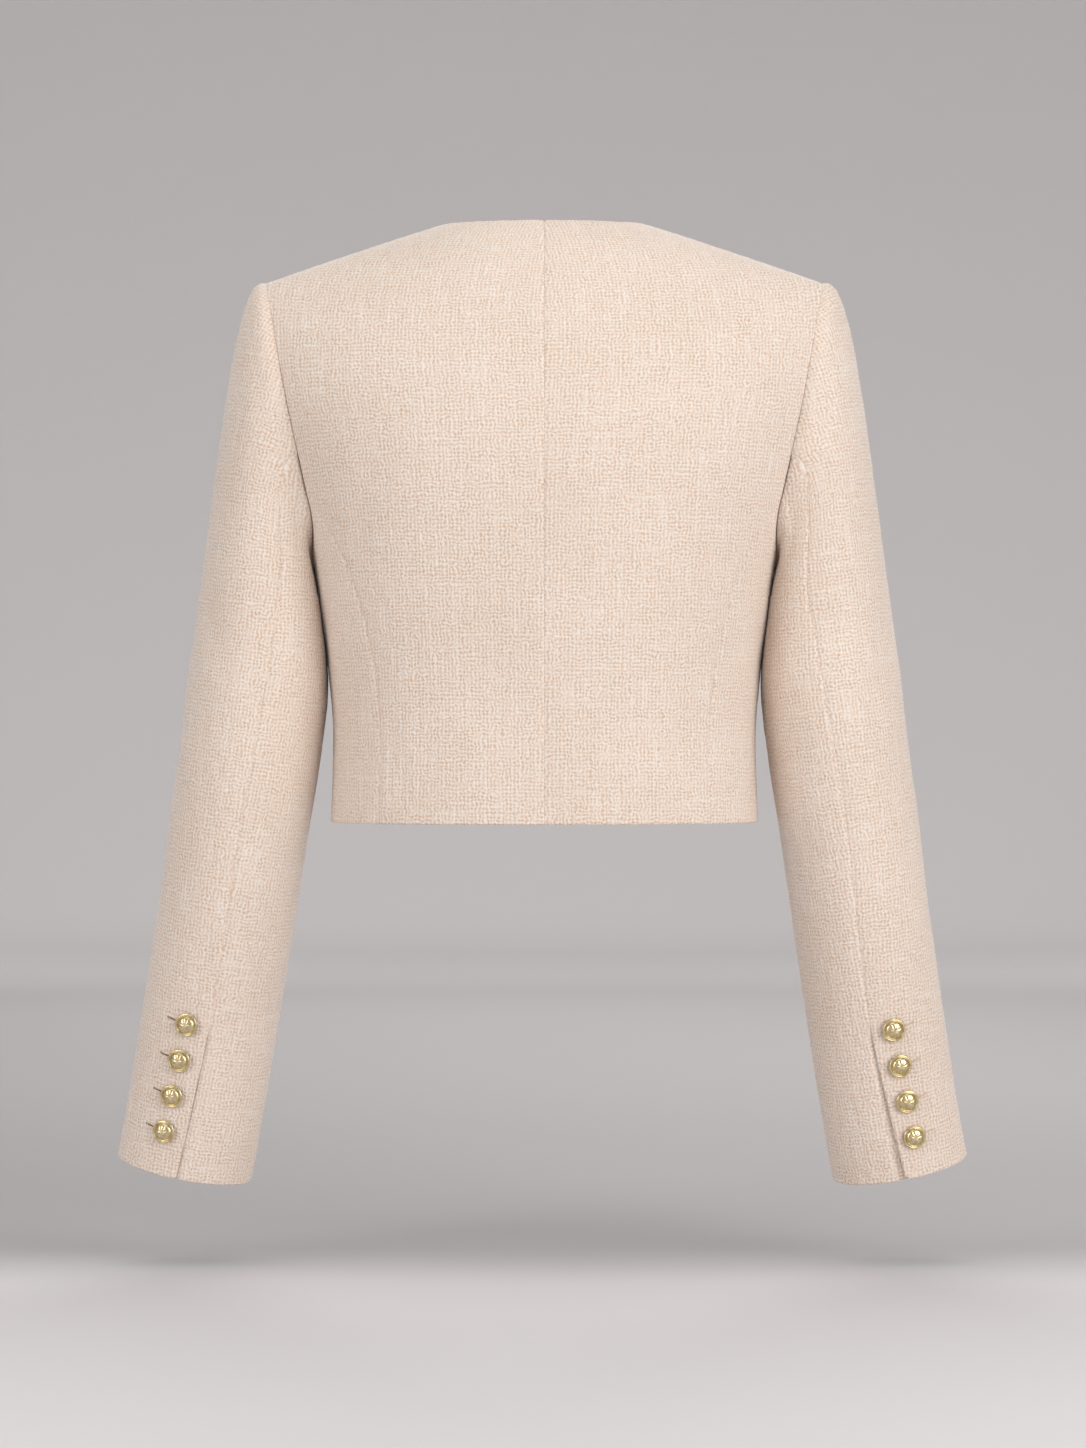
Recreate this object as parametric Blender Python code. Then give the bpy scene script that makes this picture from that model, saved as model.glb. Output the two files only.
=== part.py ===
"""Cropped collarless tweed jacket, filled out as if worn, for Blender 4.5.

Units are metres and +Z is up. The wearer would face -Y, so +X is the wearer's left. The origin
is on the centre plane and the line of the shoulder seams, 5 mm below the points where the seams
meet the neck edge. The wearer's shoulders carry the jacket there.

Every panel is a closed wall of cloth. Its outer face lies on the torso form or the sleeve form,
and its inner face lies one cloth thickness inside along the form's normal. The left half is
worked out, and the right half is its mirror image.
"""
import math
from collections import namedtuple

import bmesh
import bpy
from mathutils import Matrix, Vector

# Driving sizes
CLOTH = 0.0025                  # thickness of the cloth wall
SEAM_GAP = 0.0003               # space between two pieces at a seam
HEM_HEIGHT = -0.404
SHOULDER_RIDGE = 0.0338         # height at which the two shoulder slopes would meet
SHOULDER_SLOPE = 0.354
SHOULDER_ROUNDING = 0.045       # how wide the form is rounded where the slopes meet
NECK_HALF_WIDTH = 0.069
BACK_NECK_HEIGHT = 0.0023
FRONT_NECK_HEIGHT = -0.076
SHOULDER_HALF_WIDTH = 0.190
FRONT_OPENING = 0.0020          # gap between the two front edges
SECTION_POWER = 2.4             # squareness of the torso's level sections
BACK_REACH = 0.170              # height over which the back rounds out from the shoulder line
BACK_ROUNDNESS = 2.0
FRONT_REACH = 0.230
FRONT_ROUNDNESS = 1.6
BACK_CORNER = -0.182            # height where the side-back seam meets the armhole
FRONT_CORNER = -0.190
UNDERARM_HEIGHT = -0.227
CUFF_LAP = 0.0031               # how far the underlap lies below the vent flap's outer face
BODY_CLEARANCE = 0.0012         # least space between a sleeve and the torso
CLEARANCE_BLEND = 0.0020        # softness of the bend where a sleeve starts to rest on the torso
CLEARANCE_STARTS = -0.212       # height below which the sleeve is kept clear of the torso
CLEARANCE_FULL = -0.236
SLEEVE_HEAD_RISE = 0.06         # slope at which the sleeve leaves the top of the armhole
UNDERARM_FALL = 0.42            # slope at which it leaves the bottom
ARMHOLE_FLARE = 0.22            # how far it leans backward or forward as it leaves
ARMHOLE_HALF_DEPTH = 0.06
SLEEVE_HEAD_REACH = 0.020       # how far the sleeve head stands out before it turns down

# How finely the panels are divided
NECK_COLUMNS = 6
SHOULDER_COLUMNS = 7
PANEL_COLUMNS = NECK_COLUMNS + SHOULDER_COLUMNS
LOW_ROWS = 11
ARMHOLE_ROWS = 9
SIDE_COLUMNS = 8
ROW_CROWDING = 1.7              # how much closer the rows lie toward the shoulder
BACK_SEAM_COLUMN = 8            # place of the sleeve's back seam on the armhole
FRONT_SEAM_COLUMN = 18

BACK = 1
FRONT = -1
STEP = 1e-4                     # small step for slopes, as a share of a panel
ARM_STEP = 0.004                # small step for slopes along the arm
SHARP_ANGLE = 40.0              # edges that bend more than this are shaded sharp

TorsoSection = namedtuple("TorsoSection", "height half_width behind in_front")
TORSO_SECTIONS = [TorsoSection(*row) for row in (
    (-0.430, 0.1466, 0.0970, 0.1120),
    (-0.404, 0.1460, 0.0975, 0.1125),
    (-0.342, 0.1443, 0.0985, 0.1145),
    (-0.305, 0.1473, 0.1025, 0.1190),
    (-0.270, 0.1520, 0.1070, 0.1250),
    (-0.225, 0.1590, 0.1105, 0.1300),
    (-0.182, 0.1710, 0.1125, 0.1310),
    (-0.150, 0.1825, 0.1125, 0.1290),
    (-0.115, 0.1940, 0.1115, 0.1250),
    (-0.075, 0.2055, 0.1100, 0.1210),
    (-0.036, 0.2150, 0.1080, 0.1180),
    (0.010, 0.2240, 0.1060, 0.1150),
)]

EdgePoint = namedtuple("EdgePoint", "height distance")
SIDE_BACK_SEAM = [EdgePoint(*row) for row in (
    (-0.404, 0.1122),
    (-0.367, 0.1101),
    (-0.342, 0.1104),
    (-0.316, 0.1120),
    (-0.285, 0.1169),
    (-0.262, 0.1223),
    (-0.222, 0.1365),
    (-0.182, 0.1603),
)]
SIDE_FRONT_SEAM = [EdgePoint(*row) for row in (
    (-0.404, 0.1180),
    (-0.342, 0.1165),
    (-0.270, 0.1250),
    (-0.225, 0.1370),
    (-0.190, 0.1515),
)]
BACK_ARMHOLE = [EdgePoint(*row) for row in (
    (-0.182, 0.1603),
    (-0.152, 0.1667),
    (-0.118, 0.1740),
    (-0.078, 0.1816),
    (-0.0354, 0.1900),
)]
FRONT_ARMHOLE = [EdgePoint(*row) for row in (
    (-0.190, 0.1515),
    (-0.175, 0.1525),
    (-0.145, 0.1570),
    (-0.110, 0.1660),
    (-0.072, 0.1780),
    (-0.0354, 0.1900),
)]

# Level of the sleeve's centre line, its place, and its half width and half depth across it
SleeveSection = namedtuple("SleeveSection", "height x y half_width half_depth")
SLEEVE_SECTIONS = [SleeveSection(*row) for row in (
    (-0.643, 0.2487, -0.0280, 0.0468, 0.0380),
    (-0.622, 0.2446, -0.0248, 0.0467, 0.0388),
    (-0.587, 0.2381, -0.0195, 0.0467, 0.0405),
    (-0.549, 0.2315, -0.0140, 0.0467, 0.0430),
    (-0.505, 0.2241, -0.0080, 0.0467, 0.0460),
    (-0.458, 0.2164, -0.0020, 0.0468, 0.0495),
    (-0.410, 0.2094, 0.0020, 0.0474, 0.0525),
    (-0.358, 0.2013, 0.0030, 0.0479, 0.0550),
    (-0.305, 0.1953, 0.0010, 0.0480, 0.0570),
    (-0.280, 0.1940, -0.0010, 0.0460, 0.0580),
    (-0.250, 0.1930, -0.0025, 0.0430, 0.0590),
)]
BICEPS_HEIGHT = -0.250
CUFF_HEIGHT = -0.643
VENT_HEIGHT = -0.529

# Angle round the sleeve of its two seams: 0 is outward, 90 behind, 180 inward, 270 in front
SeamAngle = namedtuple("SeamAngle", "height back front")
SEAM_ANGLES = [SeamAngle(*row) for row in (
    (-0.650, 93.0, -125.0),
    (-0.530, 94.0, -125.0),
    (-0.390, 94.5, -124.0),
    (-0.340, 97.0, -121.0),
    (-0.294, 101.0, -118.0),
    (-0.250, 109.0, -115.0),
)]
CAP_STEPS = (0.0, 0.06, 0.15, 0.28, 0.42, 0.58, 0.78)
ARM_HEIGHTS = (
    -0.250, -0.277, -0.305, -0.332, -0.360, -0.388, -0.416, -0.445, -0.474, -0.502,
    -0.529, -0.543, -0.568, -0.593, -0.618, -0.643,
)
LAP_STARTS = 1                  # rows between the top of the vent and the full lap
LAP_COLUMNS = 3
LAP_COLUMN_ANGLE = 12.0
LAP_SLOPE_COLUMNS = 2

# Cuff buttons
BUTTON_HEIGHTS = (-0.540, -0.565, -0.590, -0.615)
BUTTON_FROM_VENT = 18.5         # degrees round the sleeve from the vent edge
BUTTON_SIDES = 20
ButtonRing = namedtuple("ButtonRing", "radius height")
BUTTON_PROFILE = [ButtonRing(*row) for row in (
    (0.0, 0.0003),
    (0.0022, 0.0003),
    (0.0022, 0.0017),
    (0.0066, 0.0017),
    (0.0075, 0.0024),
    (0.0073, 0.0032),
    (0.0062, 0.0034),
    (0.0057, 0.0030),
    (0.0046, 0.0042),
    (0.0024, 0.0050),
    (0.0, 0.0052),
)]


def read_table(table, column, position):
    """Value of a named column at a position, on a smooth curve through the table's rows."""
    rows = sorted(table)
    places = [row[0] for row in rows]
    values = [getattr(row, column) for row in rows]
    last = len(rows) - 1
    if position <= places[0]:
        return values[0]
    if position >= places[last]:
        return values[last]
    low = max(i for i in range(last) if places[i] <= position)

    def slope(i):
        chords = [(values[j + 1] - values[j]) / (places[j + 1] - places[j])
                  for j in (i - 1, i) if 0 <= j < last]
        return sum(chords) / len(chords)

    span = places[low + 1] - places[low]
    t = (position - places[low]) / span
    start, end = values[low], values[low + 1]
    rise = (2 * t ** 3 - 3 * t ** 2 + 1) * start + (3 * t ** 2 - 2 * t ** 3) * end
    lean = (t ** 3 - 2 * t ** 2 + t) * slope(low) + (t ** 3 - t ** 2) * slope(low + 1)
    return rise + lean * span


def mix(start, end, share):
    """Value a share of the way from start to end."""
    return start + (end - start) * share


def smooth_step(low, high, value):
    """0 below low and 1 above high, with a smooth rise between."""
    t = min(1.0, max(0.0, (value - low) / (high - low)))
    return t * t * (3.0 - 2.0 * t)


# Torso form

def shoulder_height(x):
    """Height of the shoulder line at a distance from the centre plane."""
    return SHOULDER_RIDGE - SHOULDER_SLOPE * math.hypot(x, SHOULDER_ROUNDING)


def torso_y(x, z, facing, fullness):
    """Depth of the torso form behind or in front of the shoulder line."""
    if facing == BACK:
        depth, reach, roundness = "behind", BACK_REACH, BACK_ROUNDNESS
    else:
        depth, reach, roundness = "in_front", FRONT_REACH, FRONT_ROUNDNESS
    drop = min(1.0, max(0.0, (shoulder_height(x) - z) / reach))
    rounding = (1.0 - (1.0 - drop) ** roundness) ** (1.0 / roundness)
    return facing * read_table(TORSO_SECTIONS, depth, z) * fullness * rounding


def torso_at(x, z, facing):
    """Point of the torso form seen squarely from behind or in front."""
    half_width = read_table(TORSO_SECTIONS, "half_width", z)
    across = min(1.0, abs(x) / half_width) ** SECTION_POWER
    fullness = (1.0 - across) ** (1.0 / SECTION_POWER)
    return Vector((x, torso_y(x, z, facing, fullness), z))


def torso_round(angle, z):
    """Point of the torso form at an angle round it: 0 is behind and pi is in front."""
    half_width = read_table(TORSO_SECTIONS, "half_width", z)
    facing = BACK if math.cos(angle) > 0.0 else FRONT
    x = half_width * math.sin(angle) ** (2.0 / SECTION_POWER)
    fullness = abs(math.cos(angle)) ** (2.0 / SECTION_POWER)
    return Vector((x, torso_y(x, z, facing, fullness), z))


def angle_of(x, z, facing):
    """Angle round the torso form of a point at a distance from the centre plane."""
    half_width = read_table(TORSO_SECTIONS, "half_width", z)
    angle = math.asin((x / half_width) ** (SECTION_POWER / 2.0))
    return angle if facing == BACK else math.pi - angle


def neck_and_shoulder(facing, u):
    """Upper edge of a back or front half: the neck edge, then the shoulder seam."""
    neck_share = NECK_COLUMNS / PANEL_COLUMNS
    centre_x = SEAM_GAP / 2 if facing == BACK else FRONT_OPENING / 2
    if u > neck_share:
        x = mix(NECK_HALF_WIDTH, SHOULDER_HALF_WIDTH, (u - neck_share) / (1.0 - neck_share))
        return x, shoulder_height(x)
    turn = 0.5 * math.pi * u / neck_share
    x = mix(centre_x, NECK_HALF_WIDTH, math.sin(turn))
    side_height = shoulder_height(NECK_HALF_WIDTH)
    if facing == BACK:
        return x, mix(BACK_NECK_HEIGHT, side_height, math.sin(turn) ** 2)
    return x, mix(side_height, FRONT_NECK_HEIGHT, math.cos(turn))


def half_panel(facing, u, v):
    """Point of a back or front half: u runs from the centre outward and v from the hem up."""
    corner = BACK_CORNER if facing == BACK else FRONT_CORNER
    seam = SIDE_BACK_SEAM if facing == BACK else SIDE_FRONT_SEAM
    armhole = BACK_ARMHOLE if facing == BACK else FRONT_ARMHOLE
    corner_share = LOW_ROWS / (LOW_ROWS + ARMHOLE_ROWS)
    top_x, top_z = neck_and_shoulder(facing, u)
    if v <= corner_share:
        z = mix(HEM_HEIGHT, corner, v / corner_share)
        edge = read_table(seam, "distance", z)
    else:
        left = 1.0 - (v - corner_share) / (1.0 - corner_share)
        z = mix(top_z, corner, left ** ROW_CROWDING)
        edge_z = mix(shoulder_height(SHOULDER_HALF_WIDTH), corner, left ** ROW_CROWDING)
        edge = read_table(armhole, "distance", edge_z)
    centre_x = SEAM_GAP / 2 if facing == BACK else FRONT_OPENING / 2
    even = mix(centre_x / edge, 1.0, u)
    spread = mix(even, top_x / SHOULDER_HALF_WIDTH, v * v)
    return torso_at(edge * spread, z, facing)


def side_panel(u, v):
    """Point of the side panel: u runs from the back seam forward and v from the hem up."""
    turn = math.pi * u
    corner = mix(BACK_CORNER, FRONT_CORNER, u)
    top_z = mix(UNDERARM_HEIGHT, corner, 1.0 - math.sin(turn))
    z = mix(HEM_HEIGHT, top_z, v)
    back_z = mix(HEM_HEIGHT, BACK_CORNER, v)
    front_z = mix(HEM_HEIGHT, FRONT_CORNER, v)
    start = angle_of(read_table(SIDE_BACK_SEAM, "distance", back_z), back_z, BACK)
    end = angle_of(read_table(SIDE_FRONT_SEAM, "distance", front_z), front_z, FRONT)
    share = mix(u, 0.5 - 0.5 * math.cos(turn), v * v)
    return torso_round(mix(start, end, share), z)


def slopes(surface, u, v):
    """Directions along u and along v of a surface given by a function."""
    u_low, u_high = max(0.0, u - STEP), min(1.0, u + STEP)
    v_low, v_high = max(0.0, v - STEP), min(1.0, v + STEP)
    along_u = surface(u_high, v) - surface(u_low, v)
    along_v = surface(u, v_high) - surface(u, v_low)
    return along_u.normalized(), along_v.normalized()


def back_half(u, v):
    """Point of the back half."""
    return half_panel(BACK, u, v)


def front_half(u, v):
    """Point of the front half."""
    return half_panel(FRONT, u, v)


def torso_normal(surface, u, v):
    """Outward normal of the torso form at a panel's point."""
    along_u, along_v = slopes(surface, u, v)
    normal = along_u.cross(along_v).normalized()
    point = surface(u, v)
    away = Vector((point.x, point.y, 0.0)) + Vector((0.0, 0.0, 0.02))
    return normal if normal.dot(away) > 0.0 else -normal


# Armhole: the loop where the torso panels meet the sleeve

ArmholePoint = namedtuple("ArmholePoint", "place torso_normal start_direction mitre across")


def armhole_loop():
    """Points of the left armhole, from the shoulder down the back and up the front.

    At each point the edges of the two walls meet on a mitre. The mitre leads from the outer
    seam line to the inner one, and across is the unit direction from torso to sleeve.
    """
    rows = LOW_ROWS + ARMHOLE_ROWS
    stops = [(back_half, 1.0, row / rows) for row in range(rows, LOW_ROWS - 1, -1)]
    stops += [(side_panel, column / SIDE_COLUMNS, 1.0) for column in range(1, SIDE_COLUMNS)]
    stops += [(front_half, 1.0, row / rows) for row in range(LOW_ROWS, rows)]
    places = [surface(u, v) for surface, u, v in stops]
    normals = [torso_normal(surface, u, v) for surface, u, v in stops]
    count = len(places)
    middle = sum(places, Vector()) / count
    loop = []
    for i, place in enumerate(places):
        along = (places[(i + 1) % count] - places[i - 1]).normalized()
        upness = (place.z - middle.z) / (places[0].z - UNDERARM_HEIGHT) * 2.0
        low = smooth_step(0.5, -1.0, upness)
        backness = (place.y - middle.y) / ARMHOLE_HALF_DEPTH
        fall = mix(-SLEEVE_HEAD_RISE, UNDERARM_FALL, low)
        flare = ARMHOLE_FLARE * backness * (1.0 - 0.6 * abs(upness))
        start = Vector((1.0, flare, -fall)).normalized()
        sleeve_normal = start.cross(along).normalized()
        if sleeve_normal.dot(normals[i]) < -0.5:
            sleeve_normal = -sleeve_normal
        total = normals[i] + sleeve_normal
        mitre = total * (-CLOTH / (1.0 + normals[i].dot(sleeve_normal)))
        across = along.cross(mitre).normalized()
        if across.dot(start) < 0.0:
            across = -across
        loop.append(ArmholePoint(place, normals[i], start, mitre, across))
    return loop


# Sleeve form

def sleeve_frame(height):
    """Centre of the sleeve's section at a height, and its outward, backward and down directions."""
    def centre(level):
        x = read_table(SLEEVE_SECTIONS, "x", level)
        return Vector((x, read_table(SLEEVE_SECTIONS, "y", level), level))

    low = max(CUFF_HEIGHT, height - ARM_STEP)
    high = min(BICEPS_HEIGHT, height + ARM_STEP)
    down = (centre(low) - centre(high)).normalized()
    behind = Vector((0.0, 1.0, 0.0))
    behind = (behind - down * behind.dot(down)).normalized()
    outward = down.cross(behind)
    if outward.x < 0.0:
        outward = -outward
    return centre(height), outward, behind, down


def sleeve_point(angle, height):
    """Point of the sleeve form at an angle in degrees round its section."""
    centre, outward, behind, _ = sleeve_frame(height)
    turn = math.radians(angle)
    width = read_table(SLEEVE_SECTIONS, "half_width", height)
    depth = read_table(SLEEVE_SECTIONS, "half_depth", height)
    point = centre + outward * width * math.cos(turn) + behind * depth * math.sin(turn)
    return clear_of_torso(point)


def clear_of_torso(point):
    """Move a sleeve point outward where it would touch the torso."""
    facing = BACK if point.y > 0.0 else FRONT
    depth = abs(torso_y(0.0, point.z, facing, 1.0))
    half_width = read_table(TORSO_SECTIONS, "half_width", point.z)
    along = min(1.0, abs(point.y) / depth) ** SECTION_POWER
    limit = half_width * (1.0 - along) ** (1.0 / SECTION_POWER) + BODY_CLEARANCE
    difference = point.x - limit
    pushed = 0.5 * (point.x + limit + math.hypot(difference, CLEARANCE_BLEND))
    share = smooth_step(CLEARANCE_STARTS, CLEARANCE_FULL, point.z)
    return Vector((mix(point.x, pushed, share), point.y, point.z))


def seam_angles(height):
    """Angles round the sleeve of its back seam and its front seam."""
    return (read_table(SEAM_ANGLES, "back", height), read_table(SEAM_ANGLES, "front", height))


def column_shares(loop):
    """Share of the way round its sleeve piece at which each armhole point's line runs."""
    count = len(loop)
    lengths = [(loop[(i + 1) % count].place - loop[i].place).length for i in range(count)]

    def shares(first, last):
        indices = [first + i for i in range((last - first) % count + 1)]
        travelled = [0.0]
        for i in indices[:-1]:
            travelled.append(travelled[-1] + lengths[i % count])
        return {i % count: d / travelled[-1] for i, d in zip(indices, travelled)}

    under = shares(BACK_SEAM_COLUMN, FRONT_SEAM_COLUMN)
    top = shares(FRONT_SEAM_COLUMN, BACK_SEAM_COLUMN + count)
    return top, under


def line_angle(shares, column, height):
    """Angle round the sleeve, at a height, of the line from an armhole point."""
    top, under = shares
    back, front = seam_angles(height)
    if column in top:
        return mix(front, back, top[column])
    return mix(back, front + 360.0, under[column])


def sleeve_grid(loop):
    """Outer points of the left sleeve, a row for each ring from the armhole to the cuff."""
    shares = column_shares(loop)
    rows = []
    for t in CAP_STEPS:
        ring = []
        for column, point in enumerate(loop):
            angle = line_angle(shares, column, BICEPS_HEIGHT)
            ring.append(cap_point(point, angle, t))
        rows.append(ring)
    for height in ARM_HEIGHTS:
        rows.append([sleeve_point(line_angle(shares, column, height), height)
                     for column in range(len(loop))])
    return rows


def cap_point(start, angle, t):
    """Point on the rounded line from the armhole to the top of the arm section."""
    end = sleeve_point(angle, BICEPS_HEIGHT)
    down = (sleeve_point(angle, BICEPS_HEIGHT - ARM_STEP) - end).normalized()
    length = (end - start.place).length
    first = start.place + start.start_direction * min(SLEEVE_HEAD_REACH, 0.20 * length)
    second = end - down * length * mix(0.35, 0.70, smooth_step(0.03, 0.15, length))
    keep = 1.0 - t
    point = (start.place * keep ** 3 + first * (3.0 * keep ** 2 * t)
             + second * (3.0 * keep * t ** 2) + end * t ** 3)
    moved = clear_of_torso(point)
    return point.lerp(moved, smooth_step(0.0, 0.5, t))


def ring_normals(rows):
    """Outward normals of a grid of closed rings."""
    normals = []
    for r, ring in enumerate(rows):
        above = rows[max(0, r - 1)]
        below = rows[min(len(rows) - 1, r + 1)]
        centre = sum(ring, Vector()) / len(ring)
        line = []
        for c, point in enumerate(ring):
            round_step = ring[(c + 1) % len(ring)] - ring[c - 1]
            down_step = below[c] - above[c]
            normal = round_step.cross(down_step).normalized()
            line.append(normal)
        away = sum((normal.dot(point - centre) for normal, point in zip(line, ring)))
        normals.append(line if away > 0.0 else [-normal for normal in line])
    return normals


# Walls

Wall = namedtuple("Wall", "outer inner")


def torso_wall(surface, columns, rows, adjust):
    """Outer and inner points of a torso panel, a list for each row."""
    outer, inner = [], []
    for r in range(rows + 1):
        outer_row, inner_row = [], []
        for c in range(columns + 1):
            u, v = c / columns, r / rows
            point = surface(u, v)
            inside = -CLOTH * torso_normal(surface, u, v)
            inside, shift = adjust(c, r, inside)
            outer_row.append(point + shift)
            inner_row.append(point + inside + shift)
        outer.append(outer_row)
        inner.append(inner_row)
    return Wall(outer, inner)


def half_wall(facing, loop):
    """Wall of a back or front half."""
    surface = back_half if facing == BACK else front_half
    rows = LOW_ROWS + ARMHOLE_ROWS

    def adjust(column, row, inside):
        shift = Vector()
        if column == PANEL_COLUMNS and row >= LOW_ROWS:
            from_top = rows - row
            place = from_top if facing == BACK else (len(loop) - from_top) % len(loop)
            inside = loop[place].mitre.copy()
        if column == PANEL_COLUMNS and row <= LOW_ROWS:
            outward, _ = slopes(surface, 1.0, row / rows)
            shift -= outward * SEAM_GAP / 2
        if row == rows and column >= NECK_COLUMNS:
            shift += Vector((0.0, facing * SEAM_GAP / 2, 0.0))
        return inside, shift

    return torso_wall(surface, PANEL_COLUMNS, rows, adjust)


def side_wall(loop):
    """Wall of the side panel."""
    def adjust(column, row, inside):
        shift = Vector()
        if row == LOW_ROWS:
            inside = loop[ARMHOLE_ROWS + column].mitre.copy()
        if column in (0, SIDE_COLUMNS):
            forward, _ = slopes(side_panel, column / SIDE_COLUMNS, row / LOW_ROWS)
            shift += forward * SEAM_GAP / 2 * (1 if column == 0 else -1)
        return inside, shift

    return torso_wall(side_panel, SIDE_COLUMNS, LOW_ROWS, adjust)


def sleeve_walls(loop):
    """Walls of the top sleeve and the under sleeve, and the under sleeve's absent cells."""
    rows = sleeve_grid(loop)
    normals = ring_normals(rows)
    count = len(loop)
    outer = [list(ring) for ring in rows]
    inner = [[p - CLOTH * n for p, n in zip(ring, line)] for ring, line in zip(rows, normals)]
    for c, point in enumerate(loop):
        gap = point.across * SEAM_GAP
        outer[0][c] = point.place + gap
        inner[0][c] = point.place + point.mitre + gap

    def piece(first, last):
        columns = [(first + i) % count for i in range((last - first) % count + 1)]
        piece_outer, piece_inner = [], []
        for r, ring in enumerate(rows):
            shifts = [Vector() for _ in columns]
            shifts[0] = (ring[columns[1]] - ring[columns[0]]).normalized() * SEAM_GAP / 2
            shifts[-1] = (ring[columns[-2]] - ring[columns[-1]]).normalized() * SEAM_GAP / 2
            piece_outer.append([outer[r][c] + s for c, s in zip(columns, shifts)])
            piece_inner.append([inner[r][c] + s for c, s in zip(columns, shifts)])
        return Wall(piece_outer, piece_inner)

    top = piece(FRONT_SEAM_COLUMN, BACK_SEAM_COLUMN + count)
    under = piece(BACK_SEAM_COLUMN, FRONT_SEAM_COLUMN)
    under, absent = add_underlap(under, rows, normals)
    return top, under, absent


def add_underlap(wall, rows, normals):
    """Carry the under sleeve on beneath the vent flap, in columns before its back seam."""
    lap_row = len(CAP_STEPS) + ARM_HEIGHTS.index(VENT_HEIGHT) + LAP_STARTS
    outer, inner = [], []
    for r, (outer_row, inner_row) in enumerate(zip(wall.outer, wall.inner)):
        outer_row, inner_row = list(outer_row), list(inner_row)
        height = ARM_HEIGHTS[max(0, r - len(CAP_STEPS))]
        back, _ = seam_angles(height)
        lap_outer, lap_inner = [], []
        for step in range(LAP_COLUMNS, 0, -1):
            angle = back - step * LAP_COLUMN_ANGLE
            point, normal = sleeve_point(angle, height), sleeve_normal(angle, height)
            lap_outer.append(point - normal * CUFF_LAP)
            lap_inner.append(point - normal * (CUFF_LAP + CLOTH))
        if r >= lap_row:
            for c in range(LAP_SLOPE_COLUMNS):
                normal = normals[r][(BACK_SEAM_COLUMN + c) % len(rows[r])]
                sink = CUFF_LAP * (1.0 - c / LAP_SLOPE_COLUMNS)
                outer_row[c] = outer_row[c] - normal * sink
                inner_row[c] = inner_row[c] - normal * sink
        outer.append(lap_outer + outer_row)
        inner.append(lap_inner + inner_row)
    absent = {(r, c) for r in range(lap_row) for c in range(LAP_COLUMNS)}
    return Wall(outer, inner), absent


def sleeve_normal(angle, height):
    """Outward normal of the sleeve form."""
    round_step = sleeve_point(angle + 0.5, height) - sleeve_point(angle - 0.5, height)
    down_step = (sleeve_point(angle, max(CUFF_HEIGHT, height - 0.002))
                 - sleeve_point(angle, min(BICEPS_HEIGHT, height + 0.002)))
    normal = round_step.cross(down_step).normalized()
    centre, _, _, _ = sleeve_frame(height)
    return normal if normal.dot(sleeve_point(angle, height) - centre) > 0.0 else -normal


# Meshes

def make_material(name, colour, roughness, metallic):
    """Plain material of one colour."""
    material = bpy.data.materials.new(name)
    material.use_nodes = True
    shader = material.node_tree.nodes["Principled BSDF"]
    shader.inputs["Base Color"].default_value = (*colour, 1.0)
    shader.inputs["Roughness"].default_value = roughness
    shader.inputs["Metallic"].default_value = metallic
    material.diffuse_color = (*colour, 1.0)
    return material


def add_object(name, mesh, material):
    """Put a mesh in the scene, shaded smooth apart from its sharp edges."""
    mesh.materials.append(material)
    mesh.shade_smooth()
    mesh.set_sharp_from_angle(angle=math.radians(SHARP_ANGLE))
    item = bpy.data.objects.new(name, mesh)
    bpy.context.collection.objects.link(item)
    return item


def make_wall(name, wall, material, absent=(), mirrored=False):
    """Lay a grid on the outer points, copy it to the inner points and close the rims.

    Each rim face is split from its lower outer corner, so that two walls meeting at a seam have
    the same edge.
    """
    rows, columns = len(wall.outer) - 1, len(wall.outer[0]) - 1
    sheet = bmesh.new()
    verts = bmesh.ops.create_grid(sheet, x_segments=columns, y_segments=rows, size=1.0)["verts"]
    place = {v: (round((v.co.y + 1.0) * 0.5 * rows), round((v.co.x + 1.0) * 0.5 * columns))
             for v in verts}
    unwanted = [f for f in sheet.faces
                if min((place[v] for v in f.verts), key=sum) in absent]
    bmesh.ops.delete(sheet, geom=unwanted, context="FACES")
    place = {v: place[v] for v in sheet.verts}
    rim = [e for e in sheet.edges if e.is_boundary]
    copy = bmesh.ops.duplicate(sheet, geom=sheet.verts[:] + sheet.edges[:] + sheet.faces[:])
    partner = copy["vert_map"]
    side = -1.0 if mirrored else 1.0
    for vert, (row, column) in place.items():
        outer, inner = wall.outer[row][column], wall.inner[row][column]
        vert.co = (outer.x * side, outer.y, outer.z)
        partner[vert].co = (inner.x * side, inner.y, inner.z)
    for edge in rim:
        low, high = sorted(edge.verts, key=lambda vert: vert.co.z)
        sheet.faces.new((low, high, partner[high]))
        sheet.faces.new((low, partner[high], partner[low]))
    bmesh.ops.recalc_face_normals(sheet, faces=sheet.faces)
    mesh = bpy.data.meshes.new(name)
    sheet.to_mesh(mesh)
    sheet.free()
    return add_object(name, mesh, material)


def make_button_mesh():
    """Turn the button's profile round its shank."""
    turned = bmesh.new()
    rings = [turned.verts.new((ring.radius, 0.0, ring.height)) for ring in BUTTON_PROFILE]
    edges = [turned.edges.new(pair) for pair in zip(rings, rings[1:])]
    bmesh.ops.spin(turned, geom=rings + edges, cent=(0.0, 0.0, 0.0), axis=(0.0, 0.0, 1.0),
                   angle=math.tau, steps=BUTTON_SIDES, use_merge=True)
    bmesh.ops.remove_doubles(turned, verts=turned.verts, dist=1e-6)
    bmesh.ops.recalc_face_normals(turned, faces=turned.faces)
    mesh = bpy.data.meshes.new("cuff_button")
    turned.to_mesh(mesh)
    turned.free()
    return mesh


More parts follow.
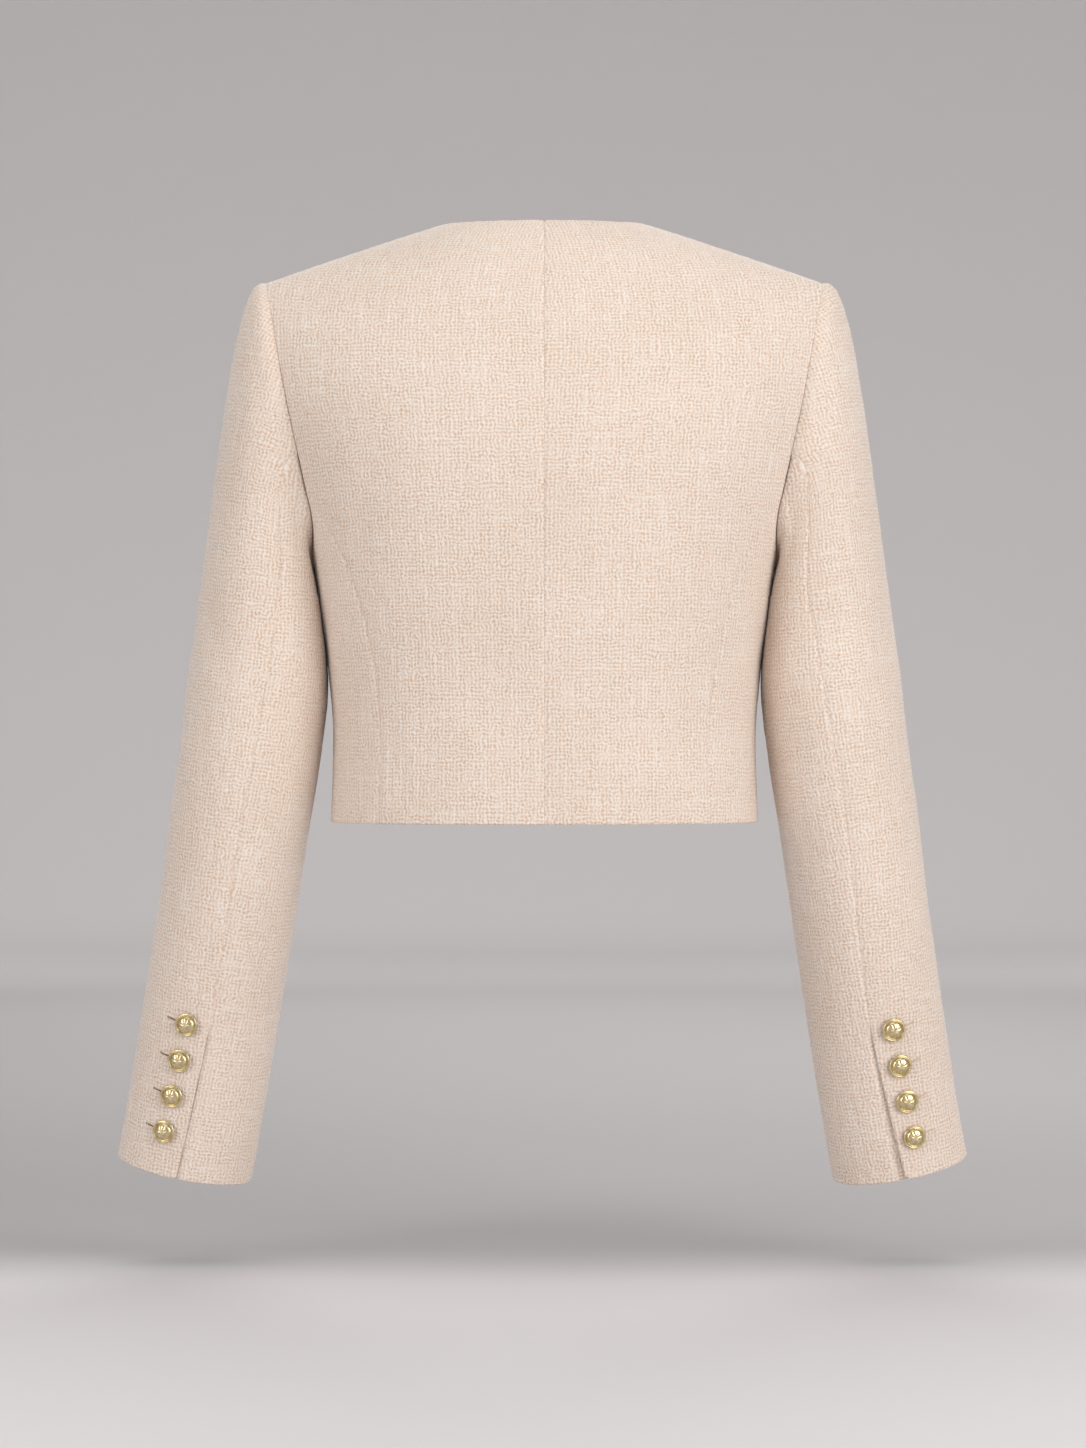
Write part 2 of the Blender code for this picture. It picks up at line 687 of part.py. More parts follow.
def place_buttons(material):
    """Seat four buttons on each vent flap."""
    mesh = make_button_mesh()
    for side_name, side in (("left", 1.0), ("right", -1.0)):
        for number, height in enumerate(BUTTON_HEIGHTS, start=1):
            angle = seam_angles(height)[0] - BUTTON_FROM_VENT
            point, normal = sleeve_point(angle, height), sleeve_normal(angle, height)
            point.x *= side
            normal.x *= side
            name = f"cuff_button_{side_name}_{number}"
            button = add_object(name, mesh if number == 1 and side > 0 else mesh.copy(), material)
            turn = normal.to_track_quat("Z", "Y").to_matrix().to_4x4()
            button.matrix_world = Matrix.Translation(point) @ turn


def main():
    """Make every piece of the jacket."""
    for item in list(bpy.data.objects):
        bpy.data.objects.remove(item, do_unlink=True)
    tweed = make_material("tweed", (0.80, 0.68, 0.55), 0.9, 0.0)
    gold = make_material("gold", (0.80, 0.62, 0.34), 0.32, 1.0)
    loop = armhole_loop()
    top_sleeve, under_sleeve, absent = sleeve_walls(loop)
    walls = (
        ("back", half_wall(BACK, loop), ()),
        ("side", side_wall(loop), ()),
        ("front", half_wall(FRONT, loop), ()),
        ("top_sleeve", top_sleeve, ()),
        ("under_sleeve", under_sleeve, absent),
    )
    for name, wall, missing in walls:
        make_wall(f"{name}_left", wall, tweed, missing)
        make_wall(f"{name}_right", wall, tweed, missing, mirrored=True)
    place_buttons(gold)


main()
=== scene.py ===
# %% [markdown]
# # A cropped tweed jacket, panel by panel
#
# The jacket is collarless and unlined to the eye: two back halves, two side panels, two fronts,
# and sleeves in two pieces with a buttoned vent. Sizes are metres, +Z is up, the wearer faces -Y.
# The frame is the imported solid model. Every panel here lies on the form of its solid there, and
# takes that solid's place in the picture.

import math
from collections import namedtuple

import bmesh
import bpy
import numpy as np
from mathutils import Matrix, Vector, noise


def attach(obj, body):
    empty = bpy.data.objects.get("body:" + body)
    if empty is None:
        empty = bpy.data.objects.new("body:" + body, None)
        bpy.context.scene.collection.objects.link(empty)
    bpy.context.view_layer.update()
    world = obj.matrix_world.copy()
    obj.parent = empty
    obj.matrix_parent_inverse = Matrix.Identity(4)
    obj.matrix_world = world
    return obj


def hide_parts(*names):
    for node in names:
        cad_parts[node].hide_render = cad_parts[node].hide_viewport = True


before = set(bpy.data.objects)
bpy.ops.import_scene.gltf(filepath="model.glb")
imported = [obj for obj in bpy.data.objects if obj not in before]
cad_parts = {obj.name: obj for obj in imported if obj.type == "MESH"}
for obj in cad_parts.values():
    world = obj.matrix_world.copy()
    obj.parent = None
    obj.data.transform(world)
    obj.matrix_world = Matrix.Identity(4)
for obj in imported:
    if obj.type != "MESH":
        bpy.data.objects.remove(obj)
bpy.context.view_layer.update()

# %% [markdown]
# ## The sizes
#
# A pattern cutter works from a few measures: shoulder width, back length, the rounding of the
# back and the run of each seam. The tables below are those measures. Each row is one level, and
# a smooth curve is drawn through the rows, as a French curve joins marks on paper. Heights are
# measured from the wearer's shoulders, where the jacket is held. Where a table has one value
# for each side, 1 is the wearer's left and -1 the right. HALF_REACH gives, for the back and the
# front, the depth's column, how far down the arch from the shoulder reaches, and how round it
# is. Seam angles are degrees round the sleeve: 0 is outward and 90 is behind.

# %% Driving sizes and tables
CLOTH = 0.0025
SLEEVE_CLOTH = 0.0019
HEM_HEIGHT = -0.404
SHOULDER_RIDGE = 0.0338
SHOULDER_SLOPE = 0.354
SHOULDER_ROUNDING = 0.045
NECK_HALF_WIDTH = 0.069
BACK_NECK_HEIGHT = 0.0038
FRONT_NECK_HEIGHT = -0.076
SHOULDER_HALF_WIDTH = 0.190
SECTION_POWER = 2.4
BACK_CORNER = -0.182
FRONT_CORNER = -0.190
UNDERARM_HEIGHT = -0.227
BICEPS_HEIGHT = -0.250
CUFF_HEIGHT = -0.643
VENT_HEIGHT = -0.529
BACK, FRONT = 1, -1
SIDE_NAMES = {1: "left", -1: "right"}
HALF_REACH = {BACK: ("behind", 0.170, 2.0), FRONT: ("in_front", 0.230, 1.6)}
CENTRE_GAP = {BACK: 0.0, FRONT: 0.0010}

TorsoSection = namedtuple("TorsoSection", "height half_width behind in_front")
TORSO = [TorsoSection(*row) for row in (
    (-0.430, 0.1466, 0.0970, 0.1120),
    (-0.404, 0.1460, 0.0975, 0.1125),
    (-0.342, 0.1443, 0.0985, 0.1145),
    (-0.305, 0.1473, 0.1025, 0.1190),
    (-0.270, 0.1520, 0.1070, 0.1250),
    (-0.225, 0.1590, 0.1105, 0.1300),
    (-0.182, 0.1710, 0.1125, 0.1310),
    (-0.150, 0.1825, 0.1125, 0.1290),
    (-0.115, 0.1940, 0.1115, 0.1250),
    (-0.075, 0.2055, 0.1100, 0.1210),
    (-0.036, 0.2150, 0.1080, 0.1180),
    (0.010, 0.2240, 0.1060, 0.1150),
)]

EdgePoint = namedtuple("EdgePoint", "height distance")
SIDE_SEAM = {
    BACK: [EdgePoint(*row) for row in (
        (-0.404, 0.1122), (-0.367, 0.1101), (-0.342, 0.1104), (-0.316, 0.1120),
        (-0.285, 0.1169), (-0.262, 0.1223), (-0.222, 0.1365), (-0.182, 0.1603),
    )],
    FRONT: [EdgePoint(*row) for row in (
        (-0.404, 0.1180), (-0.342, 0.1165), (-0.270, 0.1250), (-0.225, 0.1370),
        (-0.190, 0.1515),
    )],
}
ARMHOLE_EDGE = {
    BACK: [EdgePoint(*row) for row in (
        (-0.182, 0.1603), (-0.152, 0.1667), (-0.118, 0.1740), (-0.078, 0.1816),
        (-0.0354, 0.1900),
    )],
    FRONT: [EdgePoint(*row) for row in (
        (-0.190, 0.1515), (-0.175, 0.1525), (-0.145, 0.1570), (-0.110, 0.1660),
        (-0.072, 0.1780), (-0.0354, 0.1900),
    )],
}

SleeveSection = namedtuple("SleeveSection", "height x y half_width half_depth")
SLEEVE = [SleeveSection(*row) for row in (
    (-0.643, 0.2487, -0.0280, 0.0468, 0.0380),
    (-0.622, 0.2446, -0.0248, 0.0467, 0.0388),
    (-0.587, 0.2381, -0.0195, 0.0467, 0.0405),
    (-0.549, 0.2315, -0.0140, 0.0467, 0.0430),
    (-0.505, 0.2241, -0.0080, 0.0467, 0.0460),
    (-0.458, 0.2164, -0.0020, 0.0468, 0.0495),
    (-0.410, 0.2094, 0.0020, 0.0474, 0.0525),
    (-0.358, 0.2013, 0.0030, 0.0479, 0.0550),
    (-0.305, 0.1953, 0.0010, 0.0480, 0.0570),
    (-0.280, 0.1940, -0.0010, 0.0460, 0.0580),
    (-0.250, 0.1930, -0.0025, 0.0430, 0.0590),
)]

SeamAngle = namedtuple("SeamAngle", "height back_left back_right front")
SEAM_ANGLES = [SeamAngle(*row) for row in (
    (-0.650, 87.0, 94.0, -125.0),
    (-0.590, 90.5, 96.5, -125.0),
    (-0.530, 94.0, 99.0, -125.0),
    (-0.390, 94.5, 96.0, -124.0),
    (-0.340, 97.0, 97.5, -121.0),
    (-0.294, 101.0, 101.0, -118.0),
    (-0.250, 109.0, 109.0, -115.0),
)]
BACK_SEAM = {1: "back_left", -1: "back_right"}
print("levels:", len(TORSO), "round the body,", len(SLEEVE), "down the sleeve")

# %% [markdown]
# ## Small helpers
#
# Thousands of points are worked out at once, so the helpers take whole arrays. `curve` reads a
# named column of a table at any level.

# %% Array helpers
def curve(table, column, at):
    """Values of a named column at places along a table, on a smooth curve through its rows."""
    rows = sorted(table)
    places = np.array([row[0] for row in rows])
    values = np.array([getattr(row, column) for row in rows])
    chords = np.diff(values) / np.diff(places)
    slopes = np.concatenate((chords[:1], (chords[:-1] + chords[1:]) / 2, chords[-1:]))
    at = np.clip(at, places[0], places[-1])
    low = np.clip(np.searchsorted(places, at, side="right") - 1, 0, len(rows) - 2)
    span = places[low + 1] - places[low]
    t = (at - places[low]) / span
    rise = (2 * t**3 - 3 * t**2 + 1) * values[low] + (3 * t**2 - 2 * t**3) * values[low + 1]
    lean = (t**3 - 2 * t**2 + t) * slopes[low] + (t**3 - t**2) * slopes[low + 1]
    return rise + lean * span


def mix(start, end, share):
    """Value a share of the way from start to end."""
    return start + (end - start) * share


def smooth_step(low, high, value):
    """0 at low and 1 at high, with a smooth rise between."""
    t = np.clip((value - low) / (high - low), 0.0, 1.0)
    return t * t * (3.0 - 2.0 * t)


def points(x, y, z):
    """Stack three arrays into an array of points."""
    return np.stack(np.broadcast_arrays(x, y, z), axis=-1)


def unit(vectors):
    """Vectors scaled to length 1, or left at 0 where they have none."""
    return vectors / np.maximum(np.linalg.norm(vectors, axis=-1, keepdims=True), 1e-12)


# %% [markdown]
# ## The body form
#
# A worn jacket doesn't follow the skin: it hangs from the shoulders and rounds out over the
# back. Each level is a rounded rectangle, and an arch takes its depth down to nothing at the
# shoulder line. The same form serves the back, the fronts and the side panels.

# %% Torso form
def shoulder_height(x):
    """Height of the shoulder line at a distance from the centre plane."""
    return SHOULDER_RIDGE - SHOULDER_SLOPE * np.hypot(x, SHOULDER_ROUNDING)


def torso_y(x, z, facing, fullness):
    """Depth of the torso form behind or in front of the shoulder line."""
    depth, reach, roundness = HALF_REACH[facing]
    drop = np.clip((shoulder_height(x) - z) / reach, 0.0, 1.0)
    rounding = (1.0 - (1.0 - drop) ** roundness) ** (1.0 / roundness)
    return facing * curve(TORSO, depth, z) * fullness * rounding


def torso_at(x, z, facing):
    """Points of the torso form seen squarely from behind or in front."""
    across = np.minimum(1.0, np.abs(x) / curve(TORSO, "half_width", z)) ** SECTION_POWER
    fullness = (1.0 - across) ** (1.0 / SECTION_POWER)
    return points(x, torso_y(x, z, facing, fullness), z)


def torso_round(angle, z):
    """Points of the torso form at an angle round it: 0 is behind and pi is in front."""
    x = curve(TORSO, "half_width", z) * np.sin(angle) ** (2.0 / SECTION_POWER)
    fullness = np.abs(np.cos(angle)) ** (2.0 / SECTION_POWER)
    behind = torso_y(x, z, BACK, fullness)
    in_front = torso_y(x, z, FRONT, fullness)
    return points(x, np.where(np.cos(angle) > 0.0, behind, in_front), z)


def angle_of(x, z, facing):
    """Angle round the torso form of points at a distance from the centre plane."""
    angle = np.arcsin((x / curve(TORSO, "half_width", z)) ** (SECTION_POWER / 2.0))
    return angle if facing == BACK else math.pi - angle


# %% [markdown]
# ## The body panels
#
# Each panel is a sheet with two running directions: u across the cloth and v along it, both
# from 0 to 1. A function gives the place on the form for each (u, v). The back half runs from
# the centre seam to the side seam and, above it, to the armhole.

# %% Body panels
NECK_SHARE = 6 / 13
CORNER_SHARE = 11 / 20
ROW_CROWDING = 1.7


def neck_and_shoulder(facing, u):
    """Upper edge of a back or front half: the neck edge, then the shoulder seam."""
    along = np.clip((u - NECK_SHARE) / (1.0 - NECK_SHARE), 0.0, 1.0)
    seam_x = mix(NECK_HALF_WIDTH, SHOULDER_HALF_WIDTH, along)
    turn = 0.5 * math.pi * np.clip(u / NECK_SHARE, 0.0, 1.0)
    neck_x = mix(CENTRE_GAP[facing], NECK_HALF_WIDTH, np.sin(turn))
    side_height = shoulder_height(NECK_HALF_WIDTH)
    if facing == BACK:
        neck_z = mix(BACK_NECK_HEIGHT, side_height, np.sin(turn) ** 2)
    else:
        neck_z = mix(side_height, FRONT_NECK_HEIGHT, np.cos(turn))
    on_seam = u > NECK_SHARE
    return np.where(on_seam, seam_x, neck_x), np.where(on_seam, shoulder_height(seam_x), neck_z)


def half_panel(facing, u, v):
    """Points of a back or front half: u from the centre outward and v from the hem up."""
    corner = BACK_CORNER if facing == BACK else FRONT_CORNER
    top_x, top_z = neck_and_shoulder(facing, u)
    left = np.clip(1.0 - (v - CORNER_SHARE) / (1.0 - CORNER_SHARE), 0.0, 1.0) ** ROW_CROWDING
    low_z = mix(HEM_HEIGHT, corner, np.minimum(1.0, v / CORNER_SHARE))
    tip_z = shoulder_height(SHOULDER_HALF_WIDTH)
    is_low = v <= CORNER_SHARE
    z = np.where(is_low, low_z, mix(top_z, corner, left))
    edge = np.where(is_low, curve(SIDE_SEAM[facing], "distance", low_z),
                    curve(ARMHOLE_EDGE[facing], "distance", mix(tip_z, corner, left)))
    spread = mix(mix(CENTRE_GAP[facing] / edge, 1.0, u), top_x / SHOULDER_HALF_WIDTH, v * v)
    return torso_at(edge * spread, z, facing)


def side_panel(u, v):
    """Points of the side panel: u from the back seam forward and v from the hem up."""
    turn = math.pi * u
    top_z = mix(UNDERARM_HEIGHT, mix(BACK_CORNER, FRONT_CORNER, u), 1.0 - np.sin(turn))
    back_z = mix(HEM_HEIGHT, BACK_CORNER, v)
    front_z = mix(HEM_HEIGHT, FRONT_CORNER, v)
    start = angle_of(curve(SIDE_SEAM[BACK], "distance", back_z), back_z, BACK)
    end = angle_of(curve(SIDE_SEAM[FRONT], "distance", front_z), front_z, FRONT)
    share = mix(u, 0.5 - 0.5 * np.cos(turn), v * v)
    return torso_round(mix(start, end, share), mix(HEM_HEIGHT, top_z, v))


# %% [markdown]
# ## The armhole and the sleeve form
#
# The sleeve starts square to the body at the armhole, rolls over the shoulder and runs down
# into a bent oval tube. Smooth lines lead from each armhole point to the top of the tube.
# Where the sleeve rests on the body, it is pushed out so that the two cloths never cross.

# %% Armhole line
ARMHOLE_STOPS = 26
UNDERARM_STARTS = 9
UNDERARM_ENDS = 17
BACK_SEAM_STOP = 8
FRONT_SEAM_STOP = 18
ROW_COUNT = 20
ARMHOLE_HALF_DEPTH = 0.06
ARMHOLE_FLARE = 0.22
SLEEVE_HEAD_RISE = 0.06
UNDERARM_FALL = 0.42


def armhole_at(stop):
    """Points of the armhole: stop 0 is the shoulder, then down the back and up the front."""
    stop = np.mod(stop, ARMHOLE_STOPS)
    ones = np.ones_like(stop)
    behind = half_panel(BACK, ones, (ROW_COUNT - np.minimum(stop, UNDERARM_STARTS)) / ROW_COUNT)
    share = (stop - UNDERARM_STARTS) / (UNDERARM_ENDS - UNDERARM_STARTS)
    below = side_panel(np.clip(share, 0.0, 1.0), ones)
    climb = np.maximum(stop, UNDERARM_ENDS) - UNDERARM_ENDS
    in_front = half_panel(FRONT, ones, CORNER_SHARE + climb / ROW_COUNT)
    stop = stop[..., None]
    ahead = np.where(stop < UNDERARM_ENDS, below, in_front)
    return np.where(stop <= UNDERARM_STARTS, behind, ahead)


armhole_marks = armhole_at(np.arange(ARMHOLE_STOPS, dtype=float))
armhole_middle = armhole_marks.mean(axis=0)
fine_stops = np.linspace(0.0, 2.0 * ARMHOLE_STOPS, 5201)
armhole_steps = np.linalg.norm(np.diff(armhole_at(fine_stops), axis=0), axis=-1)
armhole_length = np.concatenate(([0.0], np.cumsum(armhole_steps)))
print(f"armhole: {armhole_length[-1] / 2 * 1000:.0f} mm round")


def start_direction(place):
    """Direction in which the sleeve leaves the armhole at given places."""
    height = armhole_marks[0, 2] - UNDERARM_HEIGHT
    upness = (place[..., 2] - armhole_middle[2]) / height * 2.0
    low = smooth_step(0.5, -1.0, upness)
    backness = (place[..., 1] - armhole_middle[1]) / ARMHOLE_HALF_DEPTH
    flare = ARMHOLE_FLARE * backness * (1.0 - 0.6 * np.abs(upness))
    fall = mix(-SLEEVE_HEAD_RISE, UNDERARM_FALL, low)
    return unit(points(1.0, flare, -fall))


# %% Sleeve tube
ARM_STEP = 0.004
BODY_CLEARANCE = 0.0002
CLEARANCE_BLEND = 0.0020
CLEARANCE_STARTS = -0.212
CLEARANCE_FULL = -0.236
NESTLE_DEPTH = 0.0040
NESTLE_ENDS = -0.350
NESTLE_FULL = -0.290


def sleeve_centre(height):
    """Points of the sleeve's centre line."""
    return points(curve(SLEEVE, "x", height), curve(SLEEVE, "y", height), height)


def clear_of_torso(place):
    """Move sleeve points outward where they would touch the torso."""
    x, y, z = place[..., 0], place[..., 1], place[..., 2]
    depth = np.where(y > 0.0, torso_y(0.0, z, BACK, 1.0), -torso_y(0.0, z, FRONT, 1.0))
    along = np.minimum(1.0, np.abs(y) / depth) ** SECTION_POWER
    half_width = curve(TORSO, "half_width", z)
    limit = half_width * (1.0 - along) ** (1.0 / SECTION_POWER) + BODY_CLEARANCE
    pushed = 0.5 * (x + limit + np.hypot(x - limit, CLEARANCE_BLEND))
    share = smooth_step(CLEARANCE_STARTS, CLEARANCE_FULL, z)
    return points(mix(x, pushed, share), y, z)


def sleeve_point(angle, height):
    """Points of the sleeve at an angle round its section. Under the arm it nestles inward."""
    low = np.maximum(CUFF_HEIGHT, height - ARM_STEP)
    high = np.minimum(BICEPS_HEIGHT, height + ARM_STEP)
    down = unit(sleeve_centre(low) - sleeve_centre(high))
    behind = unit(np.array([0.0, 1.0, 0.0]) - down * down[..., 1:2])
    outward = np.cross(down, behind)
    turn = np.radians(angle)
    across = (curve(SLEEVE, "half_width", height) * np.cos(turn))[..., None]
    back = (curve(SLEEVE, "half_depth", height) * np.sin(turn))[..., None]
    place = sleeve_centre(height) + outward * across + behind * back
    beside = np.clip(-2.0 * np.cos(turn) * np.sin(turn), 0.0, 1.0)
    nestle = NESTLE_DEPTH * beside * smooth_step(NESTLE_ENDS, NESTLE_FULL, height)
    return clear_of_torso(place - points(nestle, 0.0, 0.0))


print("cuff, outermost point", sleeve_point(0.0, np.array(CUFF_HEIGHT)).round(3))

# %% Sleeve head
SLEEVE_HEAD_REACH = 0.020
LEAVING_SHARE = 0.20            # most of a line's length that leaves square to the armhole
ARRIVING_SHARE = (0.35, 0.70)   # share of a line's length that arrives along the tube
SHORT_LINE, LONG_LINE = 0.03, 0.15


def cap_point(place, angle, t):
    """Points on the rounded lines from the armhole to the top of the tube."""
    biceps = np.full_like(angle, BICEPS_HEIGHT)
    end = sleeve_point(angle, biceps)
    down = unit(sleeve_point(angle, biceps - ARM_STEP) - end)
    length = np.linalg.norm(end - place, axis=-1)[..., None]
    leaving = np.minimum(SLEEVE_HEAD_REACH, LEAVING_SHARE * length)
    arriving = length * mix(*ARRIVING_SHARE, smooth_step(SHORT_LINE, LONG_LINE, length))
    first = place + start_direction(place) * leaving
    second = end - down * arriving
    t = t[..., None]
    keep = 1.0 - t
    point = (place * keep**3 + first * (3.0 * keep**2 * t) + second * (3.0 * keep * t**2)
             + end * t**3)
    return mix(point, clear_of_torso(point), smooth_step(0.0, 0.5, t))


def sleeve_piece(which, side, u, v):
    """Points of a sleeve piece, given as for the left, with the seams of its own side.

    u runs from seam to seam, and v from 0 at the armhole, through 1 at the top of the tube,
    to 2 at the cuff.
    """
    height = mix(BICEPS_HEIGHT, CUFF_HEIGHT, np.clip(v - 1.0, 0.0, 1.0))
    back = curve(SEAM_ANGLES, BACK_SEAM[side], height)
    front = curve(SEAM_ANGLES, "front", height)
    if which == "top":
        first, last = FRONT_SEAM_STOP, BACK_SEAM_STOP + ARMHOLE_STOPS
        angle = mix(front, back, u)
    else:
        first, last = BACK_SEAM_STOP, FRONT_SEAM_STOP
        angle = mix(back, front + 360.0, u)
    ends = np.interp((first, last), fine_stops, armhole_length)
    place = armhole_at(np.interp(mix(*ends, np.clip(u, 0.0, 1.0)), armhole_length, fine_stops))
    cap = cap_point(place, angle, np.clip(v, 0.0, 1.0))
    return np.where((v < 1.0)[..., None], cap, sleeve_point(angle, height))


print("sleeve head point", sleeve_piece("top", 1, np.array(0.5), np.array(0.3)).round(3))

# %% [markdown]
# ## Cutting a panel flat
#
# A panel starts as a flat block, as cloth starts on the cutting table. Its right side is divided
# four times as finely as its wrong side, because only the right side has to carry the surface of
# the tweed. Dividing after the thickness is made keeps the block closed all round.

# %% Flat block
FINE = 4
EDGE_STOPS = np.array((0.0, 0.0005, 0.0012, 0.0020))
EVEN_FROM = 0.0030


def cut_flat(columns, rows, absent):
    """A closed flat block of cloth, with its right side at height 0."""
    cloth = bmesh.new()
    bmesh.ops.create_grid(cloth, x_segments=columns, y_segments=rows, size=0.5)
    middles = [(face, face.calc_center_median() + Vector((0.5, 0.5, 0.0))) for face in cloth.faces]
    unwanted = [face for face, middle in middles if absent(middle.x, middle.y)]
    bmesh.ops.delete(cloth, geom=unwanted, context="FACES")
    bmesh.ops.solidify(cloth, geom=cloth.faces[:], thickness=1.0)
    right_side = [edge for edge in cloth.edges if all(abs(v.co.z) < 0.5 for v in edge.verts)]
    bmesh.ops.subdivide_edges(cloth, edges=right_side, cuts=FINE - 1, use_grid_fill=True)
    return cloth


def stops_along(line, count):
    """Places along a line: close together near both ends, for the rolled edges, then even."""
    fine = np.linspace(0.0, 1.0, 2001)
    steps = np.linalg.norm(np.diff(line(fine), axis=0), axis=-1)
    reached = np.concatenate(([0.0], np.cumsum(steps)))
    total = reached[-1]
    even = np.linspace(EVEN_FROM, total - EVEN_FROM, count + 1 - 2 * len(EDGE_STOPS))
    wanted = np.concatenate((EDGE_STOPS, even, total - EDGE_STOPS[::-1]))
    return np.interp(wanted, reached, fine)


print("stops at each edge, mm:", EDGE_STOPS * 1000)

# %% [markdown]
# ## Edges and seams
#
# Sewing turns each cut edge inward. At a seam the two turned edges press together and leave a
# soft valley. At a hem the cloth folds right back, so the edge is round through the whole
# wall. Both are worked out from each point's distance to the panel's borders. At a
# seam the face also runs a little past the line, so that no light falls between two panels.

# %% Edges and seams
SEAM_ROLL = 0.0008
SEAM_SINK = 0.0004
SEAM_LAP = 0.0004
LAP_WIDTH = 0.0024
FOLD_ROLL = 0.50                # share of the cloth's thickness
FOLD_SINK = 0.46                # share of the cloth's thickness
VALLEY_WIDTH = 0.0018
VALLEY_DEPTH = {1: 0.0009, -1: 0.0005}
ARMHOLE_VALLEY = 0.12           # share of a valley's depth that is left round the armhole
YARN_STARTS = 0.0005            # the yarn lies flat up to here from a seam
YARN_FULL = 0.0025


def rolled(distance, radius, sink):
    """How far a rolled edge sinks below the cloth's face at a distance from the border."""
    near = np.clip(1.0 - distance / radius, 0.0, 1.0)
    return sink * (1.0 - np.sqrt(1.0 - near**2))


def travelled(place, axis):
    """Distance to each point along the grid: up its columns, or across its rows for axis 1."""
    steps = np.linalg.norm(np.diff(place, axis=axis), axis=-1)
    start = [(0, 0), (0, 0)]
    start[axis] = (1, 0)
    return np.pad(np.cumsum(steps, axis=axis), start)


def border_distances(place, cut):
    """Distance of each point from the left, right, lower and upper border, along the grid.

    cut is the column and row of a step in the left border: before that row, the cloth starts
    at that column.
    """
    from_left, from_below = travelled(place, 1), travelled(place, 0)
    from_right = from_left[:, -1:] - from_left
    column, row = cut
    from_left[:row] = np.abs(from_left[:row] - from_left[:row, column:column + 1])
    return from_left, from_right, from_below, from_below[-1:] - from_below


def valley_share(place):
    """How deep seams are pressed: least round the armhole, where the sleeve rolls over."""
    x, z = place[..., 0], place[..., 2]
    at_armhole = smooth_step(0.130, 0.150, x) * smooth_step(-0.225, -0.185, z)
    return mix(1.0, ARMHOLE_VALLEY, at_armhole)


print(f"hem edge: {CLOTH * 1000:.1f} mm thick, rolled over {FOLD_ROLL * CLOTH * 1000:.2f} mm")

# %% [markdown]
# ## Curly yarn and soft creases
#
# The yarn is lumpy, so the face of the cloth isn't smooth even where it lies flat. Noise that is
# folded at 0 gives rounded worms, and noise that is drawn out gives thicker threads. A crease is
# a soft trough between two places on the panel, and a ridge where its depth is negative.

# %% Yarn and creases
NUB_HEIGHT = 0.00020
SLUB_HEIGHT = 0.00032
NUBS_A_METRE = 210.0
BENDS_A_METRE = 90.0
SLUBS_ACROSS = 330.0            # to a metre
SLUBS_ALONG = 34.0              # to a metre
Crease = namedtuple("Crease", "u0 v0 u1 v1 width depth")


def crease_rows(*rows):
    """A table of creases."""
    return [Crease(*row) for row in rows]


def noise_field(across, along, seed):
    """Smooth noise for arrays of coordinates."""
    pairs = zip(across.ravel(), along.ravel())
    values = [noise.noise(Vector((a, b, seed))) for a, b in pairs]
    return np.array(values).reshape(across.shape)


def yarn_relief(across, along, seed):
    """Height of the curly yarn: rounded worms, and thicker threads that run along the cloth."""
    bend = 1.2 * noise_field(across * BENDS_A_METRE, along * BENDS_A_METRE, seed + 7.0)
    curl = noise_field(across * NUBS_A_METRE + bend, along * NUBS_A_METRE - bend, seed)
    slubs = noise_field(across * SLUBS_ACROSS, along * SLUBS_ALONG, seed + 3.0)
    return NUB_HEIGHT * np.clip(1.0 - np.abs(curl) * 3.4, -0.6, 1.0) + SLUB_HEIGHT * slubs


def crease_depth(crease, place, surface):
    """Depth of one crease at each point."""
    u, v = np.array((crease.u0, crease.u1)), np.array((crease.v0, crease.v1))
    start, end = surface(u, v)
    line = end - start
    along = np.clip(((place - start) @ line) / (line @ line), 0.0, 1.0)
    away = np.linalg.norm(place - start - along[..., None] * line, axis=-1)
    fade = smooth_step(0.0, 0.35, along) * smooth_step(1.0, 0.65, along)
    return crease.depth * fade * np.exp(-((away / crease.width) ** 2))


print(f"yarn: nubs {NUB_HEIGHT * 1000:.2f} mm high, {1000 / NUBS_A_METRE:.1f} mm apart")

# %% [markdown]
# ## Where the threads run
#
# Every thread of a cut piece is straight on the table, and the same width everywhere. So each
# point of the form needs its place in the flat cloth, and there the weave is drawn. The two
# thread directions are followed over the form, and the layout whose steps come closest to them
# is found by least squares.

# %% Thread layout
FIT_ROUNDS = 120


def body_core(height):
    """Points on the body's middle line at given heights."""
    return points(0.0, 0.0, height)


def steps_back(rise, run):
    """Sum of the steps that arrive at each grid point less those that leave it."""
    return (np.pad(rise, ((1, 0), (0, 0))) - np.pad(rise, ((0, 1), (0, 0)))
            + np.pad(run, ((0, 0), (1, 0))) - np.pad(run, ((0, 0), (0, 1))))


def fit_steps(rise, run, guess, rounds):
    """Values on a grid whose steps along both ways come closest to wanted steps."""
    values = guess.copy()
    error = steps_back(rise - np.diff(values, axis=0), run - np.diff(values, axis=1))
    search = error.copy()
    energy = (error**2).sum()
    for _ in range(rounds):
        response = steps_back(np.diff(search, axis=0), np.diff(search, axis=1))
        share = energy / (search * response).sum()
        values += share * search
        error -= share * response
        fresh = (error**2).sum()
        search = error + search * (fresh / energy)
        energy = fresh
    return values


def wanted_steps(place, thread):
    """Distance that each step of the grid, up and across, goes along a thread direction."""
    rise = (np.diff(place, axis=0) * (thread[1:] + thread[:-1]) / 2).sum(axis=-1)
    run = (np.diff(place, axis=1) * (thread[:, 1:] + thread[:, :-1]) / 2).sum(axis=-1)
    return rise, run


